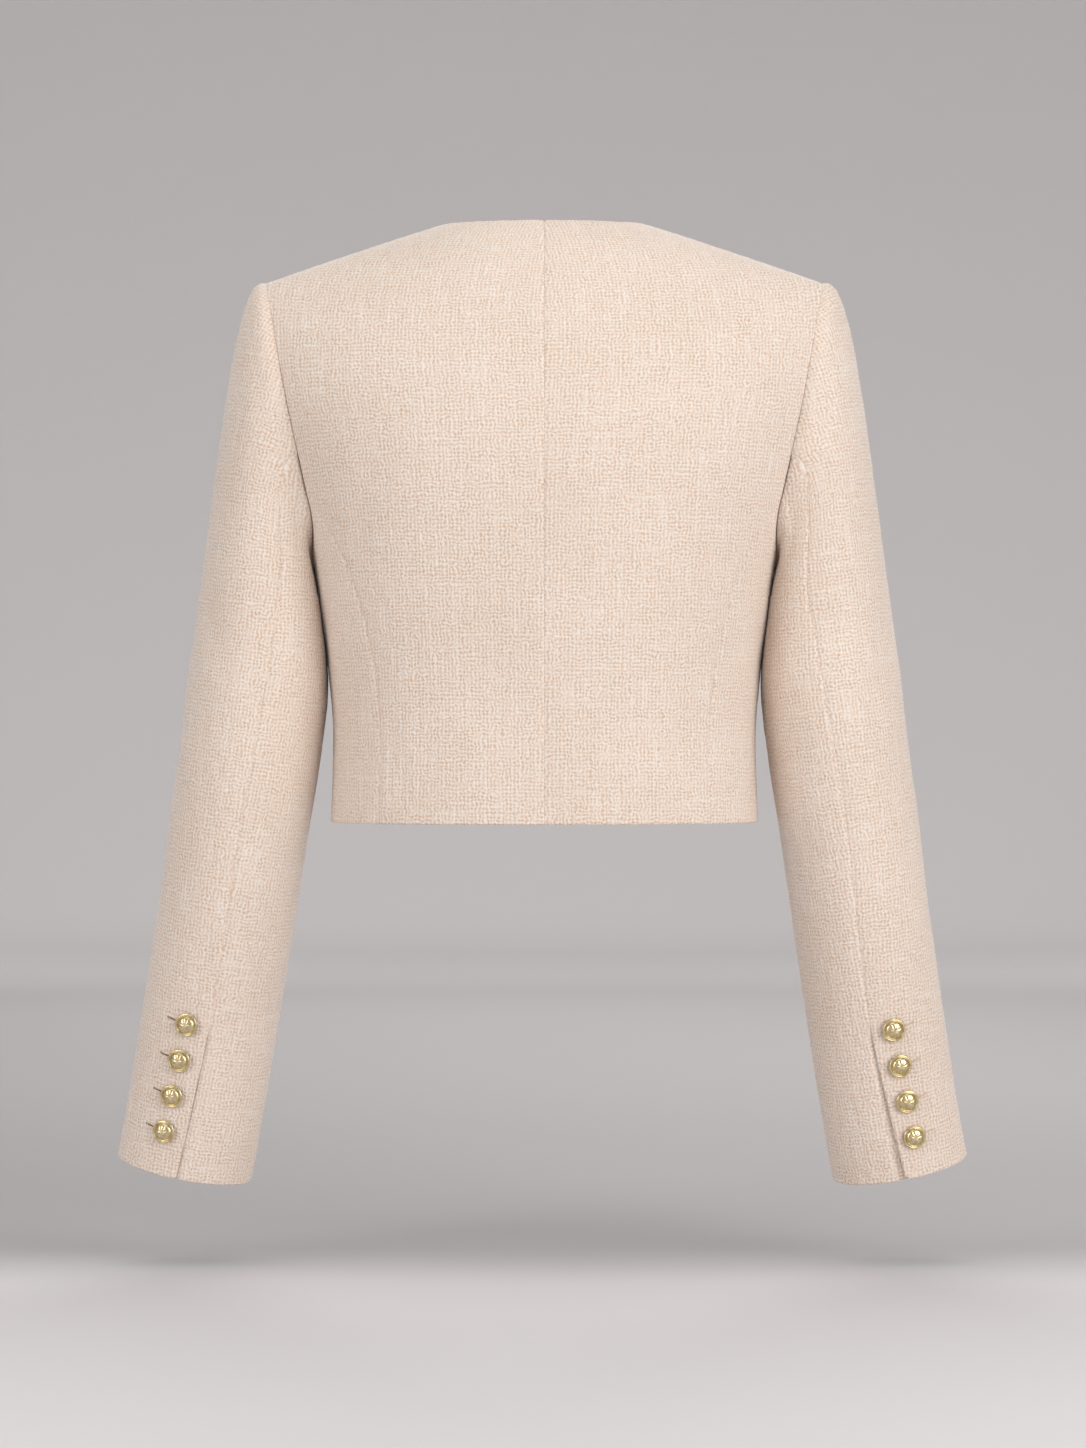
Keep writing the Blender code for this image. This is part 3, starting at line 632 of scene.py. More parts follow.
def turn_threads(place, weft, warp, across, along):
    """Turn the two thread directions at each point to suit a layout that has been found."""
    over, up = np.gradient(place, axis=1), np.gradient(place, axis=0)
    on_form = np.array([[(step * thread).sum(axis=-1) for step in (over, up)]
                        for thread in (weft, warp)]).transpose(2, 3, 0, 1)
    in_layout = np.array([[np.gradient(values, axis=axis) for axis in (1, 0)]
                          for values in (across, along)]).transpose(2, 3, 0, 1)
    change = in_layout @ np.linalg.pinv(on_form)
    turn = np.arctan2(change[..., 1, 0] - change[..., 0, 1], change[..., 0, 0] + change[..., 1, 1])
    cosine, sine = np.cos(turn)[..., None], np.sin(turn)[..., None]
    return cosine * weft - sine * warp, sine * weft + cosine * warp


def cloth_layout(place, normal, core, hem_row, grain_column, turns):
    """Coordinates of each point in the flat cloth: across the warp threads and along them.

    The warp follows the middle line of the body or the sleeve. Steps are added up from a row
    and a column that lie true to the grain. Where the piece curves both ways, the threads are
    then turned a little and the layout is fitted again, until nothing is much stretched.
    """
    height = place[..., 2]
    upward = unit(core(height + ARM_STEP) - core(height - ARM_STEP))
    warp = unit(upward - normal * (upward * normal).sum(axis=-1, keepdims=True))
    weft = np.cross(normal, warp)
    rise, run = wanted_steps(place, weft)
    across = np.pad(np.cumsum(run, axis=1), ((0, 0), (1, 0)))
    across -= across[:, grain_column][:, None]
    rise, run = wanted_steps(place, warp)
    along = np.pad(np.cumsum(rise, axis=0), ((1, 0), (0, 0)))
    along -= along[hem_row]
    for _ in range(turns):
        across = fit_steps(*wanted_steps(place, weft), across, FIT_ROUNDS)
        along = fit_steps(*wanted_steps(place, warp), along, FIT_ROUNDS)
        weft, warp = turn_threads(place, weft, warp, across, along)
    return across, along


print("layout: up to", FIT_ROUNDS, "rounds for each fit")

# %% [markdown]
# ## Shaping a panel
#
# Now the form, the edges, the yarn and the creases come together. The right side of the cloth
# carries them all. The wrong side lies a cloth's thickness beneath it, and is drawn back from
# the seams.

# %% Shaping a panel
Shaped = namedtuple("Shaped", "outer inner across along")


def pull_in(inner, folds, cut):
    """Draw the wrong side back from the seams, where two panels meet at an angle."""
    inner = inner.copy()
    left, right, lower, upper = folds
    inner[:, 0] = mix(inner[:, 2], inner[:, 0], left[:, :1])
    inner[:, -1] = mix(inner[:, -3], inner[:, -1], right[:, -1:])
    inner[0] = mix(inner[2], inner[0], lower[0][:, None])
    inner[-1] = mix(inner[-3], inner[-1], upper[-1][:, None])
    column, row = cut
    inner[:row, column] = inner[:row, column + 2]
    return inner


def spread_folds(folds, shape):
    """How much of each border is a fold, spread over every point of the panel."""
    left, right, lower, upper = (np.asarray(fold, float) for fold in folds)
    by_row = [fold[:, None] if fold.ndim else fold for fold in (left, right)]
    return [np.broadcast_to(fold, shape) for fold in (*by_row, lower, upper)]


def shape_cloth(surface, u_stops, v_stops, folds, creases, seed, adjust, core, grain_column,
                turns, thickness, cut, valley_depth):
    """Points of a panel's right and wrong side, and its coordinates along the cloth.

    folds gives, for the left, right, lower and upper border, how much of it is a fold: 1 for a
    hem and 0 for a seam, as a number or as a value for each point of the border.
    """
    u, v = np.meshgrid(u_stops, v_stops)
    place = surface(u, v)
    run_across = unit(np.gradient(place, axis=1))
    run_along = unit(np.gradient(place, axis=0))
    normal = unit(np.cross(run_across, run_along))
    if (normal * (place - core(place[..., 2]))).sum() < 0.0:
        normal = -normal
    distances = border_distances(place, cut)
    folds = spread_folds(folds, u.shape)
    sink, valley, seam_near, rise = (np.zeros(u.shape) for _ in range(4))
    lapped = place.copy()
    outward = (-run_across, run_across, -run_along, run_along)
    for distance, fold, direction in zip(distances, folds, outward):
        lap = SEAM_LAP * (1.0 - fold) * smooth_step(LAP_WIDTH, 0.0, distance)
        lapped += direction * lap[..., None]
        seam_sink = rolled(distance, SEAM_ROLL, SEAM_SINK)
        fold_sink = rolled(distance, FOLD_ROLL * thickness, FOLD_SINK * thickness)
        sink = np.maximum(sink, mix(seam_sink, fold_sink, fold))
        valley = np.maximum(valley, (1.0 - fold) * np.exp(-((distance / VALLEY_WIDTH) ** 2)))
        flattened = (1.0 - fold) * smooth_step(YARN_FULL, YARN_STARTS, distance)
        seam_near = np.maximum(seam_near, flattened)
        rise = np.maximum(rise, fold * fold_sink)
    hem_row = 0 if place[0, 0, 2] <= place[-1, 0, 2] else -1
    across, along = cloth_layout(place, normal, core, hem_row, grain_column, turns)
    relief = yarn_relief(across, along, seed) * (1.0 - seam_near)
    relief -= valley_depth * valley * valley_share(place)
    for crease in creases:
        relief -= crease_depth(crease, place, surface)
    lift = adjust(u, v, place, distances) if adjust else 0.0
    outer = lapped + normal * (relief - sink + lift)[..., None]
    inner = place + normal * (lift - thickness + rise + np.minimum(relief, 0.0))[..., None]
    return Shaped(outer, pull_in(inner, folds, cut), across, along)


# %% Laying the cloth on its form
RIGHT_SWING = 0.0030


def on_side(place, side, is_sleeve):
    """Points of the left half taken to their side. The right sleeve hangs a little further in."""
    x, y, z = place[..., 0], place[..., 1], place[..., 2]
    if side < 0 and is_sleeve:
        x = x - RIGHT_SWING * smooth_step(-0.33, CUFF_HEIGHT, z)
    return points(x * side, y, z)


def make_object(built, name, material):
    """A finished mesh as an object that has one material."""
    mesh = bpy.data.meshes.new(name)
    built.to_mesh(mesh)
    built.free()
    mesh.shade_smooth()
    mesh.materials.append(material)
    item = bpy.data.objects.new(name, mesh)
    bpy.context.collection.objects.link(item)
    return item


def lay_cloth(name, shaped, side, material, absent):
    """Cut a panel flat and put it on its form."""
    rows, columns = shaped.outer.shape[0] - 1, shaped.outer.shape[1] - 1
    is_sleeve = "sleeve" in name
    right_side = on_side(shaped.outer, side, is_sleeve)
    wrong_side = on_side(shaped.inner, side, is_sleeve)
    cloth = cut_flat(columns // FINE, rows // FINE, absent)
    across, along = [], []
    for vert in cloth.verts:
        column = round((vert.co.x + 0.5) * columns)
        row = round((vert.co.y + 0.5) * rows)
        layer = right_side if abs(vert.co.z) < 0.5 else wrong_side
        vert.co = layer[row, column]
        across.append(shaped.across[row, column])
        along.append(shaped.along[row, column])
    bmesh.ops.recalc_face_normals(cloth, faces=cloth.faces)
    item = make_object(cloth, name, material)
    mesh = item.data
    corners = np.empty(len(mesh.loops), dtype=int)
    mesh.loops.foreach_get("vertex_index", corners)
    layout = np.stack((np.array(across)[corners], np.array(along)[corners]), axis=-1)
    mesh.uv_layers.new(name="cloth").uv.foreach_set("vector", layout.ravel())
    triangles = sum(len(face.vertices) - 2 for face in mesh.polygons)
    print(f"{name}: {triangles} triangles")
    return item


# %% [markdown]
# ## Writing a finish
#
# A finish is a small network of nodes. Writing it as sums keeps it readable: `Value` wraps one
# socket, so `1 - mask` or `a * b` adds the Math nodes. `Finish.node` makes every other node.

# %% Shader sums
class Value:
    """A number that varies over a surface, ready for use in sums."""

    def __init__(self, finish, socket):
        self.finish = finish
        self.socket = socket

    def sum_node(self, operation, *others):
        return self.finish.node("ShaderNodeMath", {"operation": operation}, self, *others)

    def __add__(self, other):
        return self.sum_node("ADD", other)

    def __sub__(self, other):
        return self.sum_node("SUBTRACT", other)

    def __rsub__(self, other):
        return self.finish.node("ShaderNodeMath", {"operation": "SUBTRACT"}, other, self)

    def __mul__(self, other):
        return self.sum_node("MULTIPLY", other)

    __radd__ = __add__
    __rmul__ = __mul__

    def sine(self):
        return self.sum_node("SINE")

    def clamped(self):
        return self.finish.node("ShaderNodeClamp", {}, self, 0.0, 1.0)

    def between(self, low, high):
        """0 at low and 1 at high, with a smooth rise between."""
        settings = {"interpolation_type": "SMOOTHSTEP"}
        return self.finish.node("ShaderNodeMapRange", settings, self, low, high, 0.0, 1.0)


class Finish:
    """A material in the making."""

    def __init__(self, name):
        self.material = bpy.data.materials.new(name)
        self.material.use_nodes = True
        self.tree = self.material.node_tree
        self.shader = self.tree.nodes["Principled BSDF"]

    def node(self, kind, settings, *inputs, output=0, **named):
        """Make a node, set it up, then give its inputs values or links."""
        made = self.tree.nodes.new(kind)
        for key, value in settings.items():
            setattr(made, key, value)
        for key, value in [*enumerate(inputs), *named.items()]:
            self.give(made.inputs[key], value)
        return Value(self, made.outputs[output])

    def give(self, socket, value):
        """Link a Value to a socket, or set the socket to a number. None leaves it as it is."""
        if isinstance(value, Value):
            self.tree.links.new(value.socket, socket)
        elif value is not None:
            socket.default_value = value

    def set(self, **named):
        """Give the shader's own sockets values or links."""
        for key, value in named.items():
            self.give(self.shader.inputs[key.replace("_", " ")], value)

    def stretched(self, place, across, along):
        """Coordinates drawn out of shape, so that a noise of scale 1 has long grains."""
        return self.node("ShaderNodeVectorMath", {"operation": "MULTIPLY"}, place,
                         (across, along, 1.0))

    def noise(self, place, scale, detail=2.0, roughness=0.5):
        return self.node("ShaderNodeTexNoise", {"noise_dimensions": "3D"}, place, None, scale,
                         detail, roughness)

    def three_parts(self, vector):
        """The three numbers of a vector or colour."""
        first = self.node("ShaderNodeSeparateXYZ", {}, vector)
        return [Value(self, part) for part in first.socket.node.outputs]

    def three_noises(self, place, scale):
        """Three noises that have nothing to do with each other."""
        cloud = self.node("ShaderNodeTexNoise", {"noise_dimensions": "3D"}, place, None, scale,
                          1.0, output=1)
        return self.three_parts(cloud)

    def blend(self, share, low, high):
        """A colour between two colours. A colour mix has its colours at inputs 6 and 7."""
        return self.node("ShaderNodeMix", {"data_type": "RGBA"}, share, *[None] * 5, low, high,
                         output=2)

    def moved(self, place, offset):
        return self.node("ShaderNodeVectorMath", {"operation": "ADD"}, place, offset)


def colour(red, green, blue):
    """A screen colour from 0 to 255 as the linear colour that a shader takes."""
    shares = [value / 255.0 for value in (red, green, blue)]
    return (*[s / 12.92 if s <= 0.04045 else ((s + 0.055) / 1.055) ** 2.4 for s in shares], 1.0)


print("middle grey as a linear colour:", round(colour(128, 128, 128)[0], 3))

# %% [markdown]
# ## The tweed
#
# The cloth is a coarse plain weave of loosely spun, curly yarn. Warp threads run along the
# panel and weft threads across it, 2.6 mm apart. The yarn is cream, and the gaps between the
# threads are painted tan: partly the tan yarn there, partly painted shade in the hollows. A rare
# brown fleck shows. Six sets of waves make it: two for the warp and weft, which show everywhere,
# and four slanting ones for curls, which come and go. Noise bends each wave, and their sum is
# both the height of the yarn and its share of the colour, so the low parts carry the painted
# shade. Everything reads the panel's own cloth coordinates, so the threads follow the grain of
# each piece.

# %% Tweed finish
YARN_PITCH = 0.00260
YARN_WANDER = 10.0              # bend of the waves, in radians
YARN_DEPTH = 0.00042
GRID_SHARE = 0.36               # share of the plain weave that shows everywhere
BENDS_SCALE = 190.0             # noises to a metre
SHOWING_SCALE = 140.0
SLUB_WIDTHS = 430.0
SLUB_LENGTHS = 26.0
FLECKS_SCALE = 95.0
Stroke = namedtuple("Stroke", "angle strength")
STROKES = [Stroke(*row) for row in (
    (0.0, 1.0), (90.0, 0.80), (28.0, 0.55), (-33.0, 0.55), (62.0, 0.50), (-68.0, 0.50),
)]


def make_tweed(name, seed):
    """The tweed of one panel. seed sets where its slubs and flecks fall."""
    tweed = Finish(name)
    layout = tweed.node("ShaderNodeUVMap", {"uv_map": "cloth"})
    cloth = tweed.moved(layout, (seed, seed * 0.7, 0.0))
    elsewhere = tweed.moved(cloth, (3.1, 1.7, 5.0))
    bends, shares = [tweed.three_noises(cloth, scale) + tweed.three_noises(elsewhere, scale)
                     for scale in (BENDS_SCALE, SHOWING_SCALE)]
    curls = 0.0
    for stroke, bend, share in zip(STROKES, bends, shares):
        turn = math.radians(stroke.angle)
        across_yarn = (math.cos(turn) / YARN_PITCH, math.sin(turn) / YARN_PITCH, 0.0)
        run = tweed.node("ShaderNodeVectorMath", {"operation": "DOT_PRODUCT"}, cloth, across_yarn,
                         output=1)
        wave = (run * math.tau + (bend - 0.5) * YARN_WANDER).sine()
        everywhere = GRID_SHARE if stroke.angle % 90.0 == 0.0 else 0.0
        showing = share.between(0.38, 0.62) * (1.0 - GRID_SHARE) + everywhere
        curls = wave * showing * stroke.strength + curls
    slub = tweed.noise(tweed.stretched(cloth, SLUB_WIDTHS, SLUB_LENGTHS), 1.0, 0.0)
    weft_slub = tweed.noise(tweed.stretched(elsewhere, SLUB_LENGTHS, SLUB_WIDTHS), 1.0, 0.0)
    streaks = slub.between(0.62, 0.74) + weft_slub.between(0.66, 0.76)
    height = (curls * 0.25 + 0.52 + streaks * 0.10).clamped()

    tone = tweed.noise(cloth, 9.0, 3.0).between(0.3, 0.7)
    yarn = tweed.blend(tone, colour(228, 218, 208), colour(232, 223, 214))
    # The gaps are painted a darker, warmer tan: partly the tan yarn there, partly painted shade in
    # the hollows.
    gap_tan_and_shade = tweed.blend(tone, colour(204, 171, 144), colour(209, 177, 151))
    # Where the yarn is low it takes the gap colour, so the painted shade follows the hollows.
    cloth_colour = tweed.blend(height.between(0.0, 0.9), gap_tan_and_shade, yarn)
    spot = tweed.node("ShaderNodeTexVoronoi", {"feature": "F1"}, cloth, None, FLECKS_SCALE)
    sparse = tweed.noise(elsewhere, 41.0, 0.0).between(0.60, 0.66)
    fleck = (1.0 - spot.between(0.06, 0.11)) * sparse
    cloth_colour = tweed.blend(fleck * 0.25, cloth_colour, colour(168, 128, 92))

    bump = tweed.node("ShaderNodeBump", {}, Height=height, Distance=YARN_DEPTH, Strength=1.0)
    tweed.set(Base_Color=cloth_colour, Roughness=0.92, Normal=bump, Sheen_Weight=0.38,
              Sheen_Roughness=0.5, Specular_IOR_Level=0.25)
    return tweed.material


print("tweed:", round(1.0 / YARN_PITCH / 100.0, 1), "threads to the centimetre")

# %% [markdown]
# ## The body of the jacket
#
# Back, side and front are cut for the left and mirrored for the right. The two sides get
# creases and slubs of their own, because a worn jacket is never the same on both sides.

# %% Make a pair of panels
Pattern = namedtuple("Pattern", "node columns rows folds flat")


def nowhere(u, v):
    """Most panels have no part cut away."""
    return False


def cloth_panel(pattern, side, surface, v_end=1.0, creases=(), seed=0.0, adjust=None,
                absent=nowhere, u_stops=None, v_stops=None, core=body_core, grain_column=0,
                turns=1, thickness=CLOTH, cut=(0, 0)):
    name = f"{pattern.node}_{SIDE_NAMES[side]}"
    if u_stops is None:
        u_stops = stops_along(lambda t: surface(t, np.full_like(t, 0.5 * v_end)), pattern.columns)
    if v_stops is None:
        v_stops = v_end * stops_along(lambda t: surface(np.full_like(t, 0.5), v_end * t),
                                      pattern.rows)
    folds = [fold(u_stops, v_stops) if callable(fold) else fold for fold in pattern.folds]
    shaped = shape_cloth(surface, u_stops, v_stops, folds, creases, seed, adjust, core,
                         grain_column, turns, thickness, cut, VALLEY_DEPTH[side])
    material = make_tweed(f"tweed_{name}", seed)
    item = lay_cloth(f"cloth_{name}", shaped, side, material, absent)
    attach(item, "root")
    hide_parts(name)
    return item


# %% Back, sides and fronts
def neck_is_folded(u_stops, v_stops):
    """The upper border is folded along the neck and sewn along the shoulder."""
    return smooth_step(NECK_SHARE + 0.01, NECK_SHARE - 0.01, u_stops)


BACK_PATTERN = Pattern("back", 88, 256, (0.0, 0.0, 1.0, neck_is_folded), (0.19, 0.43, 0.0692))
SIDE_PATTERN = Pattern("side", 108, 120, (0.0, 0.0, 1.0, 0.0), (0.20, 0.23, 0.0329))
FRONT_PATTERN = Pattern("front", 88, 240, (1.0, 0.0, 1.0, neck_is_folded), (0.19, 0.42, 0.0630))
BACK_CREASES = {
    1: crease_rows(
        (0.40, 0.36, 0.42, 0.80, 0.017, 0.0012),
        (0.60, 0.40, 0.64, 0.84, 0.014, 0.0009),
        (0.97, 0.42, 0.66, 0.62, 0.010, 0.0009),
        (0.30, 0.10, 0.36, 0.42, 0.020, 0.0007),
        (0.80, 0.05, 0.86, 0.30, 0.011, -0.0006),
    ),
    -1: crease_rows(
        (0.62, 0.44, 0.58, 0.82, 0.018, 0.0008),
        (0.97, 0.46, 0.74, 0.60, 0.009, 0.0008),
        (0.42, 0.06, 0.36, 0.34, 0.022, 0.0006),
    ),
}
SIDE_CREASES = {
    1: crease_rows(
        (0.20, 0.85, 0.50, 0.55, 0.010, 0.0010),
        (0.75, 0.90, 0.55, 0.50, 0.012, 0.0009),
    ),
    -1: crease_rows(
        (0.24, 0.80, 0.46, 0.50, 0.011, 0.0009),
        (0.72, 0.86, 0.60, 0.45, 0.010, 0.0010),
    ),
}
FRONT_CREASES = {
    1: crease_rows(
        (0.92, 0.60, 0.55, 0.46, 0.012, 0.0010),
        (0.45, 0.12, 0.52, 0.44, 0.018, 0.0008),
    ),
    -1: crease_rows(
        (0.90, 0.58, 0.60, 0.50, 0.013, 0.0009),
        (0.38, 0.16, 0.44, 0.50, 0.020, 0.0008),
    ),
}
body = []
for side in SIDE_NAMES:
    body.append(cloth_panel(BACK_PATTERN, side, lambda u, v: half_panel(BACK, u, v),
                            creases=BACK_CREASES[side], seed=2.0 + side))
    body.append(cloth_panel(SIDE_PATTERN, side, side_panel, creases=SIDE_CREASES[side],
                            seed=12.0 + side, grain_column=SIDE_PATTERN.columns // 2))
    body.append(cloth_panel(FRONT_PATTERN, side, lambda u, v: half_panel(FRONT, u, v),
                            creases=FRONT_CREASES[side], seed=22.0 + side))
print("body panels:", [item.name for item in body])

# %% [markdown]
# ## The sleeves
#
# A tailored sleeve has a wide top piece and a narrow under piece. Beside the vent the back seam
# is open: the top piece becomes a folded flap that carries the buttons, and the under piece
# runs on beneath it. So the under piece is cut with a tongue at its back edge, and its cloth
# dips under the flap. The wearer's right vent stands a little open.

# %% Sleeve pieces
LAP_COLUMNS = 4 * FINE
LAP_SHARE = 0.24
CUFF_LAP = {1: 0.0018, -1: 0.0021}
DIP_WIDTH = 0.0035
VENT_OPENING = {1: 0.0001, -1: 0.0012}
VENT_SPREAD = {1: 0.0, -1: 0.018}
CORNER_RADIUS = {1: 0.0020, -1: 0.0050}
TOP_SLEEVE_WIDTH = 0.165
TUBE_LENGTH = BICEPS_HEIGHT - CUFF_HEIGHT
HEAD_ROLL = 0.0009
ROLL_STARTS = (0.001, 0.006)
ROLL_ENDS = (0.022, 0.008)
FLAP_WIDTH = 0.022
ARMHOLE_TUCK = 0.0004
TUCK_WIDTH = 0.0050
SLEEVE_TURNS = 6


def vent_height_share(height):
    """v of a height on the sleeve tube."""
    return 1.0 + (height - BICEPS_HEIGHT) / (CUFF_HEIGHT - BICEPS_HEIGHT)


VENT_V = vent_height_share(VENT_HEIGHT)


def vent_is_folded(u_stops, v_stops):
    """The back border is sewn above the vent and folded beside it."""
    return smooth_step(VENT_V - 0.004, VENT_V + 0.012, v_stops)


def top_sleeve_adjust(side):
    """Lift of the top sleeve: a soft roll at the sleeve head, and the vent flap's open corner."""
    def adjust(u, v, place, distances):
        _, from_back, from_armhole, _ = distances
        over = smooth_step(0.10, 0.35, u) * smooth_step(1.0, 0.75, u)
        roll = smooth_step(*ROLL_STARTS, from_armhole) * smooth_step(*ROLL_ENDS, from_armhole)
        open_share = smooth_step(VENT_V, 2.0, v) * smooth_step(FLAP_WIDTH, 0.0, from_back)
        tuck = np.exp(-((from_armhole / TUCK_WIDTH) ** 2)) * smooth_step(0.6, 0.85, u)
        return (HEAD_ROLL * roll * over + VENT_OPENING[side] * open_share
                - ARMHOLE_TUCK * tuck)
    return adjust


def under_sleeve_adjust(side):
    """Dip of the under sleeve where it runs beneath the vent flap."""
    def adjust(u, v, place, distances):
        from_left = travelled(place, 1)
        past_seam = from_left - from_left[:, LAP_COLUMNS:LAP_COLUMNS + 1]
        dip = smooth_step(DIP_WIDTH, -0.0005, past_seam)
        tuck = np.exp(-((distances[2] / TUCK_WIDTH) ** 2)) * smooth_step(0.6, 0.3, u)
        return (-CUFF_LAP[side] * dip * smooth_step(VENT_V - 0.01, VENT_V + 0.05, v)
                - ARMHOLE_TUCK * tuck)
    return adjust


def under_sleeve_surface(side):
    """The under sleeve of one side, as a function of u and v."""
    return lambda u, v: sleeve_piece("under", side, u, v)


def top_sleeve_surface(side):
    """The top sleeve with its vent flap drawn open, and the flap's lower corner rounded off."""
    def surface(u, v):
        opened = smooth_step(VENT_V, 2.0, v) * smooth_step(0.75, 1.0, u)
        near = np.clip(1.0 - (1.0 - u) * TOP_SLEEVE_WIDTH / CORNER_RADIUS[side], 0.0, 1.0)
        lift = CORNER_RADIUS[side] * (1.0 - np.sqrt(1.0 - near**2)) * smooth_step(1.93, 2.0, v)
        return sleeve_piece("top", side, u - VENT_SPREAD[side] * opened, v - lift / TUBE_LENGTH)
    return surface


TOP_PATTERN = Pattern("top_sleeve", 108, 392, (0.0, vent_is_folded, 0.0, 1.0),
                      (0.24, 0.64, 0.1052))
UNDER_PATTERN = Pattern("under_sleeve", 92, 300, (vent_is_folded, 0.0, 0.0, 1.0),
                        (0.17, 0.56, 0.0600))
TOP_CREASES = {
    1: crease_rows(
        (0.62, 0.95, 0.88, 1.18, 0.012, 0.0009),
        (0.70, 1.30, 0.96, 1.22, 0.010, 0.0010),
        (0.30, 0.96, 0.14, 1.20, 0.014, 0.0012),
        (0.55, 1.52, 0.92, 1.44, 0.012, 0.0006),
    ),
    -1: crease_rows(
        (0.60, 1.00, 0.90, 1.24, 0.013, 0.0008),
        (0.74, 1.36, 0.96, 1.28, 0.010, 0.0009),
        (0.34, 0.98, 0.12, 1.16, 0.013, 0.0012),
        (0.50, 1.60, 0.88, 1.50, 0.013, 0.0006),
    ),
}
UNDER_CREASES = {
    1: crease_rows(
        (0.10, 1.26, 0.50, 1.34, 0.010, 0.0011),
        (0.15, 1.10, 0.60, 1.16, 0.010, 0.0009),
    ),
    -1: crease_rows(
        (0.08, 1.22, 0.56, 1.30, 0.011, 0.0010),
        (0.12, 1.40, 0.50, 1.46, 0.011, 0.0009),
    ),
}
as_sleeve = {"v_end": 2.0, "core": sleeve_centre, "turns": SLEEVE_TURNS,
             "thickness": SLEEVE_CLOTH}
sleeves = []
for side in SIDE_NAMES:
    sleeves.append(cloth_panel(TOP_PATTERN, side, top_sleeve_surface(side),
                               creases=TOP_CREASES[side], seed=32.0 + side,
                               adjust=top_sleeve_adjust(side),
                               grain_column=TOP_PATTERN.columns // 2, **as_sleeve))
    under_surface = under_sleeve_surface(side)
    seam_stops = stops_along(lambda t: under_surface(t, np.full_like(t, 1.5)),
                             UNDER_PATTERN.columns - LAP_COLUMNS)
    lap_stops = -LAP_SHARE * np.linspace(1.0, 0.0, LAP_COLUMNS + 1)[:-1]
    v_stops = 2.0 * stops_along(lambda t: under_surface(np.full_like(t, 0.5), 2.0 * t),
                                UNDER_PATTERN.rows)
    lap_row = int(np.searchsorted(v_stops, VENT_V + 0.01)) // FINE * FINE
    lap_part, lap_start = LAP_COLUMNS / UNDER_PATTERN.columns, lap_row / UNDER_PATTERN.rows
    sleeves.append(cloth_panel(UNDER_PATTERN, side, under_surface,
                               creases=UNDER_CREASES[side], seed=42.0 + side,
                               adjust=under_sleeve_adjust(side), cut=(LAP_COLUMNS, lap_row),
                               u_stops=np.concatenate((lap_stops, seam_stops)), v_stops=v_stops,
                               absent=lambda u, v: u < lap_part and v < lap_start,
                               grain_column=UNDER_PATTERN.columns // 2, **as_sleeve))
print("sleeve pieces:", [item.name for item in sleeves])

# %% [markdown]
# ## The buttons
#
# Each cuff button is stamped metal: a flat rim, a groove and a dome, on a shank. A profile spun
# round the shank makes the body. The dome carries a plain ring of petals, pressed into the
# finished turning by moving its points, so it stays one clean mesh.

# %% Button metal
def make_gold():
    """Gold with a soft shine and faint wear."""
    gold = Finish("button_gold")
    place = gold.node("ShaderNodeTexCoord", {}, output=3)
    wear = gold.noise(place, 420.0, 2.0)
    dull = gold.noise(place, 3600.0, 2.0)
    tint = gold.blend(wear.between(0.35, 0.65), colour(204, 185, 140), colour(226, 211, 172))
    bump = gold.node("ShaderNodeBump", {}, Height=dull, Distance=0.000008, Strength=1.0)
    gold.set(Base_Color=tint, Metallic=1.0, Roughness=(1.0 - wear) * 0.12 + 0.24, Normal=bump)
    return gold.material


gold_finish = make_gold()
print("finish:", gold_finish.name)

# %% Button turning
BUTTON_SIDES = 96
PETALS = 8
PETAL_HEIGHT = 0.00034
PETALS_START = 0.0010           # metres from the middle
PETALS_END = 0.0054
PETAL_FADE = 0.0012
DOME_BASE = 0.0034
RingPoint = namedtuple("RingPoint", "radius height")
BUTTON_PROFILE = [RingPoint(*row) for row in (
    (0.0, 0.0003), (0.0022, 0.0003), (0.0022, 0.0016), (0.0060, 0.0016), (0.0069, 0.0018),
    (0.0074, 0.0022), (0.0075, 0.0026), (0.0074, 0.0030), (0.0071, 0.0033), (0.0067, 0.0034),
    (0.0064, 0.0033), (0.0061, 0.0028), (0.0059, 0.0024), (0.0057, 0.0025), (0.0054, 0.0032),
    (0.0050, 0.0039), (0.0044, 0.0043), (0.0037, 0.0046), (0.0029, 0.0049), (0.0021, 0.0051),
    (0.0013, 0.0052), (0.0006, 0.0052), (0.0, 0.0052),
)]
BUTTON_SCALE = 1.07             # the metal is drawn 16 mm wide, and its solid is 15 mm


def turn_button():
    """The button at the origin, with its shank downward."""
    turned = bmesh.new()
    rings = [turned.verts.new((ring.radius * BUTTON_SCALE, 0.0, ring.height))
             for ring in BUTTON_PROFILE]
    edges = [turned.edges.new(pair) for pair in zip(rings, rings[1:])]
    bmesh.ops.spin(turned, geom=rings + edges, cent=(0.0, 0.0, 0.0), axis=(0.0, 0.0, 1.0),
                   angle=math.tau, steps=BUTTON_SIDES, use_merge=True)
    bmesh.ops.remove_doubles(turned, verts=turned.verts, dist=1e-6)
    for vert in turned.verts:
        radius = math.hypot(vert.co.x, vert.co.y)
        if vert.co.z > DOME_BASE and PETALS_START < radius < PETALS_END:
            turn = math.atan2(vert.co.y, vert.co.x)
            petal = abs(math.cos(turn * PETALS / 2.0)) ** 0.6
            inner = min(1.0, (radius - PETALS_START) / PETAL_FADE)
            outer = min(1.0, (PETALS_END - radius) / PETAL_FADE)
            vert.co.z += PETAL_HEIGHT * (petal - 0.6) * inner * outer
    bmesh.ops.recalc_face_normals(turned, faces=turned.faces)
    return turned


print("button:", len(BUTTON_PROFILE), "rings of", BUTTON_SIDES, "points")

# %% Seating the buttons
BUTTON_HEIGHTS = (-0.540, -0.565, -0.590, -0.615)
BUTTON_FROM_VENT = 18.5         # degrees round the sleeve
BUTTON_RISE = {1: 0.0030, -1: 0.0003}


